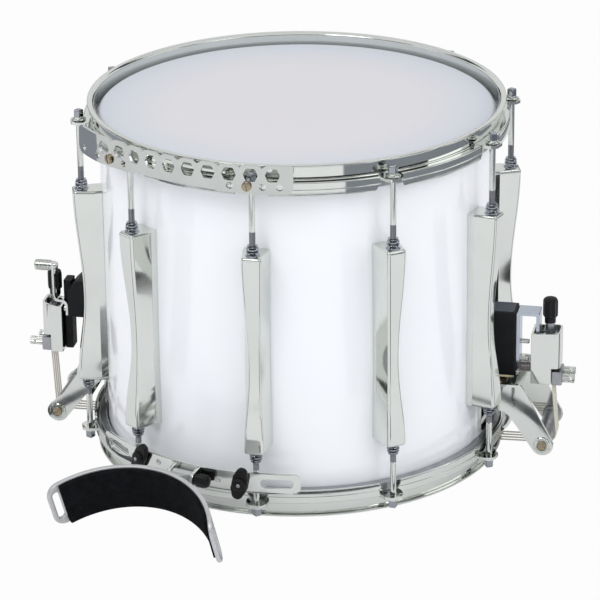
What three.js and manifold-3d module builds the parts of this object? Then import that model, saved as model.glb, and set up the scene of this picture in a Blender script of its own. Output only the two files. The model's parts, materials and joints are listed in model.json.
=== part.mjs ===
import * as THREE from "three";
import { mergeVertices } from "three/addons/utils/BufferGeometryUtils.js";
import Module from "manifold-3d";

// Marching snare drum, in millimetres, +Z up. The origin lies on the drum's axis in the playing surface
// of the batter head. The player stands at -Y. An azimuth is counted round the axis from -Y towards +X.

// Fits
const GAP = 0.3; // between pieces that seat on each other
const OVERRUN = 4; // how far a cutting shape passes the faces that it cuts
const WELD = 0.6; // how deep a boss runs into the plate that carries it

// Rings and round details
const RING_SEGMENTS = 40; // four to a lug, so that every lug and strainer meets a flat of the shell
const ROD_SIDES = 8;
const SCREW_SIDES = 10;
const CORNER_STEPS = 4;
const MERGE_DISTANCE_SHARE = 1e-6; // of the drum's radius: vertices closer than this are one

// Shell
const SHELL_RADIUS = 176.2;
const SHELL_WALL = 7;
const SHELL_HEIGHT = 304.8;
const EDGE_DEPTH = 5.7; // of the bearing edge
const EDGE_SHARES = [
  [0, 1],
  [0.63, 0],
  [0.77, 0.02],
  [0.91, 0.25],
  [1, 0.6],
]; // across the wall from the inside, down the bearing edge

// Heads
const FILM = 0.5;
const FILM_TURN_INSET = 1.8; // from the shell's outside to where the film leaves the flat
const FILM_TURN_REACH = 0.3; // past the shell's outside, where the film turns down
const FILM_TURN_DROP = 1.4;
const COLLAR_GAP = 1.2; // between the shell and the head's collar
const COLLAR_DEPTH = 7; // from the playing surface to the flesh hoop
const FLESH_HOOP_WIDTH = 7.6;
const FLESH_HOOP_HEIGHT = 8.5;
const SHELL_TOP = -FILM - GAP;
const SHELL_BOTTOM = SHELL_TOP - SHELL_HEIGHT;
const LOWER_HEAD_FACE = SHELL_BOTTOM - GAP - FILM;
const SEAT = SHELL_RADIUS * Math.cos(Math.PI / RING_SEGMENTS) + GAP; // on a flat of the shell

// Hoops
const HOOP_METAL = 2.3;
const HOOP_CLEARANCE = 3.5; // from the shell to the hoop's wall
const HOOP_INNER_RADIUS = SHELL_RADIUS + HOOP_CLEARANCE;
const HOOP_RISE = 9.5; // of the rim over the head
const RIM_WIDTH = 6.3;
const RIM_METAL = 1.9;
const RIM_ROUND = 1.8;
const FLANGE_ROUND = 0.7;
const FLANGE_WIDTH = 9.6;
const SKIRT_RADIUS = HOOP_INNER_RADIUS + FLANGE_WIDTH;
const SKIRT_DROP = 17; // from the playing surface to the skirt's edge
const EAR_ROOT_INSET = 6.3; // the ear starts this far inside the skirt
const EAR_REACH = 7.3; // of the ear past the rod's axis
const EAR_WIDTH = 22;
const EAR_SHARES = [
  [0, 1],
  [0.72, 0.82],
  [1, 0.45],
]; // along the ear, across its half width
const NOTCH_TOP_WIDTH = 22;
const NOTCH_EDGE_WIDTH = 30;
const NOTCH_CEILING = 0.6; // metal left under the flange
const ARCH_RADIUS = 10.5; // of the lower hoop's round notches
const GATE_WIDTH = 66;
const GATE_FLOOR = 3.6; // below the head's face
const GATE_CEILING = 6.4; // above the head's face
const RING_CUT_DEPTH = 14; // of a cut through a hoop, from its outside inwards
const FLANGE_UNDER = GAP - COLLAR_DEPTH;
const FLANGE_TOP = FLANGE_UNDER + HOOP_METAL;

// Tension rods
const LUG_COUNT = 10;
const FIRST_LUG_DEG = -83.5;
const ROD_OUTSET = 4.4; // of the rods from the hoops' skirts
const ROD_CIRCLE_RADIUS = SKIRT_RADIUS + ROD_OUTSET;
const ROD_RADIUS = 2.75;
const ROD_BORE_RADIUS = ROD_RADIUS + GAP;
const ROD_ENGAGEMENT = 22; // of the rod in the lug
const WASHER_RADIUS = 6.5;
const WASHER_HEIGHT = 1.6;
const KEY_WIDTH = 6.2;
const KEY_HEIGHT = 7;

// Lugs
const LUG_DROP = 68.7; // from the playing surface to the lug's top
const LUG_RISE = 54.4; // of the lug's lower end over the shell's
const LUG_TOP = -LUG_DROP;
const LUG_BOTTOM = SHELL_BOTTOM + LUG_RISE;
const LUG_LENGTH = LUG_TOP - LUG_BOTTOM;
const LUG_DEPTH = 26;
const LUG_WAIST_DEPTH = 19.2;
const LUG_BASE_WIDTH = 23;
const LUG_WAIST_BASE_WIDTH = 11.5;
const LUG_FACE_WIDTH = 17;
const LUG_WAIST_FACE_WIDTH = 9;
const LUG_FLANK = 6; // height of the straight flank beside the shell
const LUG_BEVEL = 3;
const LUG_STATIONS = 8;
const LUG_WAIST_SHARE = 0.57;
const SWIVEL_RADIUS = 5.4;
const SWIVEL_HEIGHT = 9;

// Sling rail
const RAIL_OUTSET = 12.3; // from the hoop's skirt to the rail's inside face
const RAIL_RADIUS = SKIRT_RADIUS + RAIL_OUTSET;
const RAIL_METAL = 2.5;
const RAIL_FROM_DEG = -65;
const RAIL_TO_DEG = -1;
const RAIL_STEPS = 16;
const RAIL_TOP = 15.2;
const RAIL_BOTTOM = -9.6;
const RAIL_WAIST_RISE = 2; // of the lower edge between the two tabs
const RAIL_WAIST_FROM_DEG = -43;
const RAIL_WAIST_TO_DEG = -20;
const RAIL_CORNER = 6;
const RAIL_STANDOFF = 3.6; // how much further out the left end stands
const RAIL_STANDOFF_FROM_DEG = -46;
const RAIL_STANDOFF_TO_DEG = -57;
const RAIL_SLOPE_STEP_DEG = 0.5; // over which the standoff's slope is taken
const SLING_HOLE_COUNT = 10;
const FIRST_SLING_HOLE_DEG = -53.1;
const SLING_HOLE_PITCH_DEG = 5.25;
const SLING_HOLE_WIDTH = 12.7;
const SLING_HOLE_HEIGHT = 11.6;
const SLING_HOLE_Z = 5.6;
const SLING_HOLE_CLIMB = 1.4; // from the first hole to the last
const HEXAGON_SHARES = [
  [1, 0],
  [0.57, 1],
  [-0.57, 1],
  [-1, 0],
  [-0.57, -1],
  [0.57, -1],
];
const SCALLOP_WIDTH = 7;
const SCALLOP_DEPTH = 2.4;
const RAIL_PIN_HOLE_RADIUS = 3;
const RAIL_PIN_HOLE_Z = -3.4;
const RAIL_PIN_HOLE_DEGS = [-62, -55.6, -46.4, -16.2, -8.2, -4.2];
const RAIL_SCREW_DEGS = [-51.2, -12];
const RAIL_SCREW_Z = -3;
const RAIL_SCREW_RADIUS = 4.2;
const RAIL_SCREW_HEAD = 2.2;
const RAIL_SCREW_SHANK_RADIUS = 2.4;
const RAIL_SCREW_SLOT = 1;
const RAIL_FOOT_DEGS = [-55.5, -18];
const RAIL_FOOT_WIDTH = 14;
const RAIL_FOOT_METAL = 2.3;

// Snares
const STRAND_COUNT = 12;
const STRAND_RADIUS = 0.7;
const STRAND_PITCH = 4.6;
const STRAND_SIDES = 6;
const SNARE_PLATE_OVERHANG = 10.3; // past the shell
const SNARE_PLATE_REACH = SHELL_RADIUS + SNARE_PLATE_OVERHANG;
const SNARE_PLATE_LENGTH = 12.5;
const SNARE_PLATE_WIDTH = 58;
const SNARE_PLATE_METAL = 2.4;

// Strainers, both sides
const THROWOFF_DEG = -101.5;
const BUTT_DEG = 78.5;
const BLOCK_WIDTH = 34;
const BRACKET_METAL = 3;
const BRACKET_BAND_FLATS = 3; // of the shell that the curved base covers
const BRACKET_FOOT_RISE = 18.6; // over the shell's lower end, as each rise below
const ARM_SPAN = 67.6; // between the arms
const ARM_ROOT_DEPTH = 1.6; // from the shell's outside inwards
const ARM_END_RADIUS = 10;
const ARM_END_STEPS = 8;
const WEB_RADIUS = 24.5;
const WEB_METAL = 2.5;
const WEB_STEPS = 8;
const WEB_CENTRE_INSET = 3.4; // from the arm's root to the axis of the web's curve
const ROLLER_RADIUS = 8;
const ROLLER_SIDES = 16;
const AXLE_RADIUS = 3.2;
const AXLE_HEAD_RADIUS = 7.5;
const AXLE_HEAD_HEIGHT = 2.2;
const HOUSING_WALL = 2;
const HOUSING_WIDTH = 25;
const HOUSING_CORNER = 6;
const HOUSING_CORNER_STEPS = 3;
const HOUSING_WELL = 7; // depth of the open top
const HOUSING_BRIDGE = 5; // thickness of the floor that carries the knob
const SPINDLE_RADIUS = 2.1;
const SPINDLE_SIDES = 8;
const SPINDLE_LENGTH = 42;
const SPINDLE_COLLAR_RADIUS = 4.6;
const KNOB_HEIGHT = 24;
const KNOB_RADIUS = 6.8;
const KNOB_FLUTES = 8;
const KNOB_SECTION_SHARES = [
  [0, 0.74, 1],
  [0.2, 0.74, 1],
  [0.3, 1, 0.88],
  [0.86, 1, 0.9],
  [0.97, 0.78, 1],
  [1, 0.4, 1],
]; // up the knob, of its radius, and how far the flutes come in
const CLAMP_HEIGHT = 13;
const CLAMP_OUTER_WIDTH = 21;
const CLAMP_INNER_WIDTH = 16;
const CLAMP_INNER_DEPTH = 10; // from the spindle's axis back
const CLAMP_PROUD = 1.4; // past the housing's face
const CLAMP_POCKET_TOP_GAP = 3.4; // over the clamp, for its travel
const CLAMP_POCKET_DEPTH = 8; // from the housing's face inwards
const CLAMP_SCREW_OFFSET = 4; // sideways from the clamp's middle
const CLAMP_SCREW_RADIUS = 4;
const CLAMP_SCREW_LENGTH = 12.5;
const CORD_RADIUS = 0.8;
const CORD_SIDES = 8;
const CORD_RUN_PITCH = 5.6;
const CORD_WRAP_STEPS = 5;

// Throw-off. Its reaches are counted from the shell's outside.
const THROWOFF_BLOCK_DEPTH = 37.5;
const THROWOFF_BLOCK_RISE = 133.1;
const THROWOFF_BLOCK_HEIGHT = 39.5;
const THROWOFF_BLOCK_CHAMFER = 9.5;
const THROWOFF_BAND_RISE = 69.6;
const THROWOFF_PIVOT_REACH = 44.8;
const THROWOFF_PIVOT_RISE = 6.6;
const THROWOFF_ARM_OUTER_SHARES = [
  [0.24, 0],
  [0.7, 0.52],
  [0.89, 0.72],
  [1.01, 0.8],
];
const THROWOFF_ARM_INNER_SHARES = [
  [0.46, 0.75],
  [0.16, 0.51],
  [0, 0.41],
];
const THROWOFF_ARM_END_DEGS = [62, -150];
const THROWOFF_WEB_RISE = 43.6;
const THROWOFF_WEB_DEGS = [72, -62];
const THROWOFF_HOUSING_REACH = 44.8;
const THROWOFF_HOUSING_DEPTH = 19;
const THROWOFF_HOUSING_RISE = 104.6;
const THROWOFF_HOUSING_HEIGHT = 49;
const THROWOFF_HOUSING_SLANT = 5;
const THROWOFF_KNOB_INSET = 8.5; // from the housing's back to the knob's axis
const THROWOFF_KNOB_LIFT = 4; // of the knob's foot over the housing
const THROWOFF_CLAMP_DROP = 36; // of the clamp's top below the housing's
const THROWOFF_LOW_SCREW_DROP = 6.5; // below the clamp's top
const THROWOFF_HIGH_SCREW_DROP = 2;
const THROWOFF_HIGH_SCREW_RADIUS = 2.8;
const THROWOFF_HIGH_SCREW_LENGTH = 6.2;
const GUIDE_OFFSET = 3.5; // of the guide's middle from the block's, away from the lever
const GUIDE_WIDTH = 15;
const GUIDE_DROP = 7.5; // below the block's top
const GUIDE_LENGTH = 69;
const LEVER_WIDTH = 7;
const LEVER_Y = 11.6; // middle of the lever's strip
const LEVER_METAL = 2.4;
const LEVER_PIN_RADIUS = 3;
const LEVER_PIN_LENGTH = 12;
const LEVER_FOOT = 6; // of the strip below its pivot
const LEVER_SHOULDER_RISE = 13; // over the block's lower end
const LEVER_BEND = 5;
const LEVER_STRIP_REACH = 49.8; // inside face of the upright
const LEVER_TOP_RISE = 51; // over the block's lower end
const GRIP_DROP = 5; // of the grip's axis below the lever's top
const GRIP_RADIUS = 5;
const GRIP_LENGTH = 17;
const GRIP_NUT_RADIUS = 3.6;
const GRIP_NUT_LENGTH = 3.4;

// Butt
const BUTT_BLOCK_DEPTH = 24.5;
const BUTT_BLOCK_RISE = 133.6;
const BUTT_BLOCK_HEIGHT = 70;
const BUTT_BAND_RISE = 59.6;
const BUTT_PIVOT_REACH = 52.8;
const BUTT_PIVOT_RISE = 7.6;
const BUTT_ARM_RISE = 64.6;
const BUTT_ARM_OUTER_SHARES = [
  [0.63, 0],
  [0.72, 0.14],
];
const BUTT_ARM_INNER_SHARES = [
  [0.54, 0.66],
  [0.39, 0.48],
  [0, 0.38],
];
const BUTT_ARM_END_DEGS = [38, -150];
const BUTT_WEB_RISE = 37.6;
const BUTT_WEB_DEGS = [80, -55];
const CARRIER_DEPTH = 12.9;
const CARRIER_WIDTH = 18;
const CARRIER_DROP = 10; // below the block's top
const CARRIER_HEIGHT = 56;
const STAPLE_METAL = 3;
const STAPLE_REACH = 20.7;
const STAPLE_LEG = 21;
const CROSS_FLANGE_HEIGHT = 24;
const CARRIER_PIN_RADIUS = 2.2;
const CARRIER_PIN_LENGTH = 8;
const CARRIER_PIN_DROPS = [28, 45];
const SPACER_RADIUS = 5;
const SPACER_DROP = 53;
const BUTT_HOUSING_REACH = 38.3;
const BUTT_HOUSING_DEPTH = 26.5;
const BUTT_HOUSING_RISE = 106.6;
const BUTT_HOUSING_HEIGHT = 50;
const BUTT_HOUSING_SLANT = 2;
const BUTT_KNOB_INSET = 15.5;
const BUTT_KNOB_LIFT = 6;
const BUTT_CLAMP_DROP = 38;
const BUTT_LOW_SCREW_DROP = 8;
const BUTT_HIGH_SCREW_DROP = 3.5;
const BUTT_HIGH_SCREW_RADIUS = 3.6;
const BUTT_SCREW_LENGTH = 11.1;

// Knee rest
const KNEE_RAIL_OUTSET = 9.2; // from the hoop's skirt to the rail's inside face
const KNEE_RAIL_RADIUS = SKIRT_RADIUS + KNEE_RAIL_OUTSET;
const KNEE_RAIL_METAL = 2.5;
const KNEE_RAIL_FROM_DEG = -60;
const KNEE_RAIL_TO_DEG = 0;
const KNEE_RAIL_STEPS = 15;
const KNEE_RAIL_RISE = 37.1;
const KNEE_RAIL_TOP = SHELL_BOTTOM + KNEE_RAIL_RISE;
const KNEE_RAIL_HEIGHT = 19.1;
const KNEE_RAIL_CORNER = 6;
const KNEE_SLOT_DEGS = [-53.4, -6];
const KNEE_SLOT_LENGTH = 28;
const KNEE_SLOT_WIDTH = 7.5;
const KNEE_RAIL_FOOT_WIDTH = 16;
const KNEE_RAIL_FOOT_INSET = 9.9; // inwards from the rail's inside face
const KNEE_RAIL_FOOT_METAL = 2.5;
const KNEE_RAIL_FOOT_LUGS = [1, 2]; // which rods hold the rail, counted from zero
const WING_LEFT_DEG = -43.9;
const WING_RIGHT_DEG = -15.1;
const WING_LEFT_DROP = 6.5; // below the rail's upper edge
const WING_RIGHT_DROP = 9.5;
const WING_LEFT_TURN_DEG = 20;
const WING_RIGHT_TURN_DEG = 78;
const WING_LENGTH = 29;
const WING_WIDTH = 14;
const WING_THICKNESS = 5;
const WING_HUB_RADIUS = 6;
const WING_HUB_HEIGHT = 8;
const WING_SHANK_RADIUS = 3;
const WING_NUT_RADIUS = 3.9;
const WING_NUT_HEIGHT = 3.2;
const WING_SHARES = [
  [1, 0.3],
  [0.86, 0.62],
  [0.4, 1],
  [-0.4, 1],
  [-0.86, 0.62],
  [-1, 0.3],
];
const HINGE_DEG = -29.5;
const HINGE_OUTSET = 9.5; // of the hinge from the rail's inside face
const HINGE_RADIUS = KNEE_RAIL_RADIUS + HINGE_OUTSET;
const HINGE_DROP = 9.5; // below the rail's upper edge
const HINGE_Z = KNEE_RAIL_TOP - HINGE_DROP;
const HINGE_PITCH_DEG = 21.5; // how far the knee plate leans outwards
const CHEEK_INNER_SPAN = 20;
const CHEEK_METAL = 3;
const HINGE_KNOB_FROM = CHEEK_INNER_SPAN / 2 + CHEEK_METAL + GAP;
const CHEEK_END_RADIUS = 7;
const CHEEK_ROOT_HEIGHT = 17;
const BARREL_RADIUS = 6;
const HINGE_PIN_RADIUS = 3;
const HINGE_PIN_REACH = 7; // of the hinge pin into its knob
const HINGE_KNOB_RADIUS = 6.2;
const HINGE_KNOB_LENGTH = 13;
const KNEE_PLATE_RADIUS = 93; // convex face
const KNEE_PLATE_METAL = 4;
const KNEE_PLATE_HALF_DEG = 64.6;
const KNEE_PLATE_STEPS = 22;
const KNEE_PLATE_REACH = 30.1; // from the hinge to the plate's convex face
const KNEE_PLATE_DROP = 5; // of its lower edge below the hinge
const KNEE_PLATE_WIDTH = 46.1;
const KNEE_PLATE_CORNER = 12;
const STRAP_SLOT_LENGTH = 30;
const STRAP_SLOT_WIDTH = 6.5;
const STRAP_SLOT_RIM = 4.5;
const KNEE_ARM_WIDTH = 18;
const KNEE_ARM_FOOT_LOW = 4;
const KNEE_ARM_FOOT_HIGH = 27;
const KNEE_ARM_NECK = 4.6;
const PAD_THICKNESS = 3.2;
const PAD_EDGE = 1.6; // thickness at the pad's drawn-in edge
const PAD_HALF_DEG = 54.5;
const PAD_MARGIN = 2; // from the plate's edges
const PAD_STEPS = 22;

const wasm = await Module();
wasm.setup();

const radians = THREE.MathUtils.degToRad;
const series = (count, item) => Array.from({ length: count }, (_, index) => item(index));
const ordered = (a, b) => (a < b ? [a, b] : [b, a]);

// Finishes
const finish = (color, roughness, metalness) => new THREE.MeshStandardMaterial({ color, roughness, metalness });
const WHITE_GLOSS = () => finish(0xf0f1f5, 0.15, 0);
const COATED_FILM = () => finish(0xdad9dc, 0.75, 0);
const CLEAR_FILM = () => finish(0xe4e6e8, 0.2, 0);
const CHROME = () => finish(0xd1d5cf, 0.08, 1);
const STEEL = () => finish(0xa1a3a4, 0.3, 1);
const BRASS = () => finish(0xb08d4c, 0.25, 1);
const BLACK_PLASTIC = () => finish(0x131316, 0.4, 0);
const BLACK_FELT = () => finish(0x131316, 0.95, 0);
const IVORY_CORD = () => finish(0xe9e5d4, 0.8, 0);

// Turns a closed geometry into a solid whose faces point outwards.
function solidOf(shape) {
  if (shape instanceof wasm.Manifold) return shape;
  const plain = new THREE.BufferGeometry();
  plain.setAttribute("position", shape.getAttribute("position"));
  plain.setIndex(shape.index);
  const merged = mergeVertices(plain, SHELL_RADIUS * MERGE_DISTANCE_SHARE);
  const corners = merged.index.array;
  const triangles = [];
  for (let i = 0; i < corners.length; i += 3) {
    const [a, b, c] = corners.slice(i, i + 3);
    if (a !== b && b !== c && c !== a) triangles.push([a, b, c]);
  }
  const made = (triVerts) =>
    new wasm.Manifold(
      new wasm.Mesh({ numProp: 3, vertProperties: merged.attributes.position.array, triVerts }),
    );
  const outwards = made(new Uint32Array(triangles.flat()));
  if (outwards.volume() > 0) return outwards;
  return made(new Uint32Array(triangles.map(([a, b, c]) => [a, c, b]).flat()));
}

const joined = (...shapes) => shapes.map(solidOf).reduce((whole, shape) => whole.add(shape));
const cut = (shape, ...cutters) => cutters.reduce((rest, cutter) => rest.subtract(solidOf(cutter)), solidOf(shape));

function mesh(name, shape, material) {
  const { vertProperties, triVerts } = solidOf(shape).getMesh();
  const geometry = new THREE.BufferGeometry();
  geometry.setAttribute("position", new THREE.BufferAttribute(vertProperties, 3));
  geometry.setIndex(new THREE.BufferAttribute(triVerts, 1));
  const made = new THREE.Mesh(geometry, material);
  made.name = name;
  return made;
}

// A group at an azimuth whose +X points out from the drum, +Y along the shell and +Z up.
function station(azimuthDeg, ...children) {
  const group = new THREE.Group();
  group.rotation.z = radians(azimuthDeg) - Math.PI / 2;
  group.add(...children);
  return group;
}

// Where an outline's two coordinates and its depth go: an "x" prism has its outline in (y, z).
const DIRECTIONS = {
  x: [new THREE.Vector3(0, 1, 0), new THREE.Vector3(0, 0, 1), new THREE.Vector3(1, 0, 0)],
  y: [new THREE.Vector3(1, 0, 0), new THREE.Vector3(0, 0, 1), new THREE.Vector3(0, 1, 0)],
  z: [new THREE.Vector3(1, 0, 0), new THREE.Vector3(0, 1, 0), new THREE.Vector3(0, 0, 1)],
};

function prism(outline, axis, from, to) {
  const shape = new THREE.Shape(outline.map(([a, b]) => new THREE.Vector2(a, b)));
  const geometry = new THREE.ExtrudeGeometry(shape, { depth: to - from, steps: 1, bevelEnabled: false });
  geometry.translate(0, 0, from);
  return geometry.applyMatrix4(new THREE.Matrix4().makeBasis(...DIRECTIONS[axis]));
}

const rectangle = (a0, b0, a1, b1) => [
  [a0, b0],
  [a1, b0],
  [a1, b1],
  [a0, b1],
];

// Points of an arc about (a, b), both ends included.
const arc = (a, b, radius, fromDeg, toDeg, steps) =>
  series(steps + 1, (i) => {
    const angle = radians(fromDeg + ((toDeg - fromDeg) * i) / steps);
    return [a + radius * Math.cos(angle), b + radius * Math.sin(angle)];
  });

const circle = (a, b, radius, sides) => arc(a, b, radius, 0, 360 - 360 / sides, sides - 1);

// A slot with round ends, its long way along the first coordinate.
const slot = (a, b, length, width) => {
  const reach = (length - width) / 2;
  return [...arc(a + reach, b, width / 2, -90, 90, 4), ...arc(a - reach, b, width / 2, 90, 270, 4)];
};

// What a corner loses when it is rounded: sideA and sideB say which way the plate lies from the corner.
const cornerCut = (a, b, radius, sideA, sideB) => {
  const [centreA, centreB] = [a + sideA * radius, b + sideB * radius];
  const [outA, outB] = [a - sideA * radius, b - sideB * radius];
  const bow = series(CORNER_STEPS + 1, (i) => {
    const angle = (Math.PI / 2) * (i / CORNER_STEPS);
    return [centreA - sideA * radius * Math.sin(angle), centreB - sideB * radius * Math.cos(angle)];
  });
  return [[outA, outB], [centreA, outB], ...bow, [outA, centreB]];
};

function revolved(profile, segments) {
  const closed = [...profile, profile[0]].map(([radius, z]) => new THREE.Vector2(radius, z));
  return new THREE.LatheGeometry(closed, segments).rotateX(Math.PI / 2);
}

// Skin over rings of equally many points, closed by flat ends.
function loft(rings) {
  const count = rings[0].length;
  const last = (rings.length - 1) * count;
  const indices = [];
  for (let start = 0; start < last; start += count)
    for (let k = 0; k < count; k += 1) {
      const a = start + k;
      const b = start + ((k + 1) % count);
      indices.push(a, b, b + count, a, b + count, a + count);
    }
  for (let k = 1; k < count - 1; k += 1) indices.push(0, k + 1, k, last, last + k, last + k + 1);
  const geometry = new THREE.BufferGeometry();
  geometry.setAttribute("position", new THREE.Float32BufferAttribute(rings.flat(2), 3));
  geometry.setIndex(indices);
  return geometry;
}

// Round cord through points, its section carried along without twist.
function cordThrough(points, radius, sides) {
  const path = points.map((point) => new THREE.Vector3(...point));
  const side = new THREE.Vector3(0, 1, 0);
  const rings = path.map((point, i) => {
    const before = path[Math.max(i - 1, 0)];
    const after = path[Math.min(i + 1, path.length - 1)];
    const along = after.clone().sub(before).normalize();
    side.addScaledVector(along, -side.dot(along)).normalize();
    const other = along.clone().cross(side);
    return series(sides, (k) => {
      const angle = (2 * Math.PI * k) / sides;
      return point
        .clone()
        .addScaledVector(side, radius * Math.cos(angle))
        .addScaledVector(other, radius * Math.sin(angle))
        .toArray();
    });
  });
  return loft(rings);
}

// Plate that follows a curve round the Z axis: radiusAt gives the inside face at each azimuth in degrees.
function bentPlate(radiusAt, metal, fromDeg, toDeg, steps, bottom, top) {
  const degrees = series(steps + 1, (i) => fromDeg + ((toDeg - fromDeg) * i) / steps);
  const at = (deg, offset) => {
    const radius = radiusAt(deg) + offset;
    return [radius * Math.cos(radians(deg)), radius * Math.sin(radians(deg))];
  };
  const inside = degrees.map((deg) => at(deg, 0));
  const outside = degrees.map((deg) => at(deg, metal)).reverse();
  return prism([...inside, ...outside], "z", bottom, top);
}

// Shell
function shell() {
  const inner = SHELL_RADIUS - SHELL_WALL;
  const edge = EDGE_SHARES.map(([across, down]) => [inner + across * SHELL_WALL, down * EDGE_DEPTH]);
  const upper = edge.map(([radius, depth]) => [radius, SHELL_TOP - depth]);
  const lower = edge.map(([radius, depth]) => [radius, SHELL_BOTTOM + depth]).reverse();
  return revolved([...upper, ...lower], RING_SEGMENTS);
}

// Heights are counted outwards from a head's face; the lower end mirrors them.
const upward = (profile) => profile;
const downward = (profile) => profile.map(([radius, z]) => [radius, LOWER_HEAD_FACE - z]);

function head(facing) {
  const turn = SHELL_RADIUS - FILM_TURN_INSET;
  const fleshTop = -COLLAR_DEPTH;
  const fleshInner = SHELL_RADIUS + COLLAR_GAP;
  const profile = [
    [0, 0],
    [turn, 0],
    [SHELL_RADIUS + FILM_TURN_REACH + FILM, -FILM_TURN_DROP],
    [fleshInner + FILM, fleshTop],
    [fleshInner + FLESH_HOOP_WIDTH, fleshTop],
    [fleshInner + FLESH_HOOP_WIDTH, fleshTop - FLESH_HOOP_HEIGHT],
    [fleshInner, fleshTop - FLESH_HOOP_HEIGHT],
    [SHELL_RADIUS + FILM_TURN_REACH, -FILM - FILM_TURN_DROP],
    [turn, -FILM],
    [0, -FILM],
  ];
  return revolved(facing(profile), RING_SEGMENTS);
}

const HOOP_PROFILE = [
  [HOOP_INNER_RADIUS + HOOP_METAL, FLANGE_TOP],
  [SKIRT_RADIUS - FLANGE_ROUND, FLANGE_TOP],
  [SKIRT_RADIUS, FLANGE_TOP - FLANGE_ROUND],
  [SKIRT_RADIUS, -SKIRT_DROP],
  [SKIRT_RADIUS - HOOP_METAL, -SKIRT_DROP],
  [SKIRT_RADIUS - HOOP_METAL, FLANGE_UNDER],
  [HOOP_INNER_RADIUS, FLANGE_UNDER],
  [HOOP_INNER_RADIUS, HOOP_RISE - RIM_ROUND],
  [HOOP_INNER_RADIUS + RIM_ROUND, HOOP_RISE],
  [HOOP_INNER_RADIUS + RIM_WIDTH, HOOP_RISE],
  [HOOP_INNER_RADIUS + RIM_WIDTH, HOOP_RISE - RIM_METAL],
  [HOOP_INNER_RADIUS + HOOP_METAL, HOOP_RISE - RIM_METAL],
];

const lugAngle = (index) => radians(FIRST_LUG_DEG + (360 / LUG_COUNT) * index);
const lugAngles = series(LUG_COUNT, lugAngle);

// A hoop in the frame whose polar angle is the azimuth. heightOf turns a height over the head into z.
function hoop(facing, heightOf, notch, gates) {
  const ring = revolved(facing(HOOP_PROFILE), RING_SEGMENTS);
  const earRoot = SKIRT_RADIUS - EAR_ROOT_INSET;
  const earLength = ROD_CIRCLE_RADIUS + EAR_REACH - earRoot;
  const earSide = EAR_SHARES.map(([along, across]) => [earRoot + along * earLength, (across * EAR_WIDTH) / 2]);
  const earOutline = [...earSide, ...earSide.map(([x, y]) => [x, -y]).reverse()];
  const [low, high] = ordered(heightOf(FLANGE_UNDER), heightOf(FLANGE_TOP));
  const ears = lugAngles.map((angle) => prism(earOutline, "z", low, high).rotateZ(angle));
  const cutters = lugAngles.flatMap((angle) => [
    prism(notch, "x", SKIRT_RADIUS - HOOP_METAL - GAP, SKIRT_RADIUS + OVERRUN).rotateZ(angle),
    prism(circle(ROD_CIRCLE_RADIUS, 0, ROD_BORE_RADIUS, ROD_SIDES), "z", low - OVERRUN, high + OVERRUN).rotateZ(angle),
  ]);
  return cut(joined(ring, ...ears), ...cutters, ...gates);
}

function upperHoop() {
  const ceiling = FLANGE_UNDER - NOTCH_CEILING;
  const notch = [
    [-NOTCH_TOP_WIDTH / 2, ceiling],
    [-NOTCH_EDGE_WIDTH / 2, -SKIRT_DROP - OVERRUN],
    [NOTCH_EDGE_WIDTH / 2, -SKIRT_DROP - OVERRUN],
    [NOTCH_TOP_WIDTH / 2, ceiling],
  ];
  return hoop(upward, (z) => z, notch, []);
}

function lowerHoop() {
  const heightOf = (z) => LOWER_HEAD_FACE - z;
  const edge = heightOf(-SKIRT_DROP);
  const notch = [
    ...arc(0, edge, ARCH_RADIUS - NOTCH_CEILING, 180, 360, 6),
    [ARCH_RADIUS, edge + OVERRUN],
    [-ARCH_RADIUS, edge + OVERRUN],
  ];
  const opening = rectangle(-GATE_WIDTH / 2, heightOf(GATE_CEILING), GATE_WIDTH / 2, heightOf(-GATE_FLOOR));
  const inside = HOOP_INNER_RADIUS + RIM_WIDTH - RING_CUT_DEPTH;
  const gates = [THROWOFF_DEG, BUTT_DEG].map((deg) =>
    prism(opening, "x", inside, HOOP_INNER_RADIUS + RIM_WIDTH + OVERRUN).rotateZ(radians(deg)),
  );
  return hoop(downward, heightOf, notch, gates);
}

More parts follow.
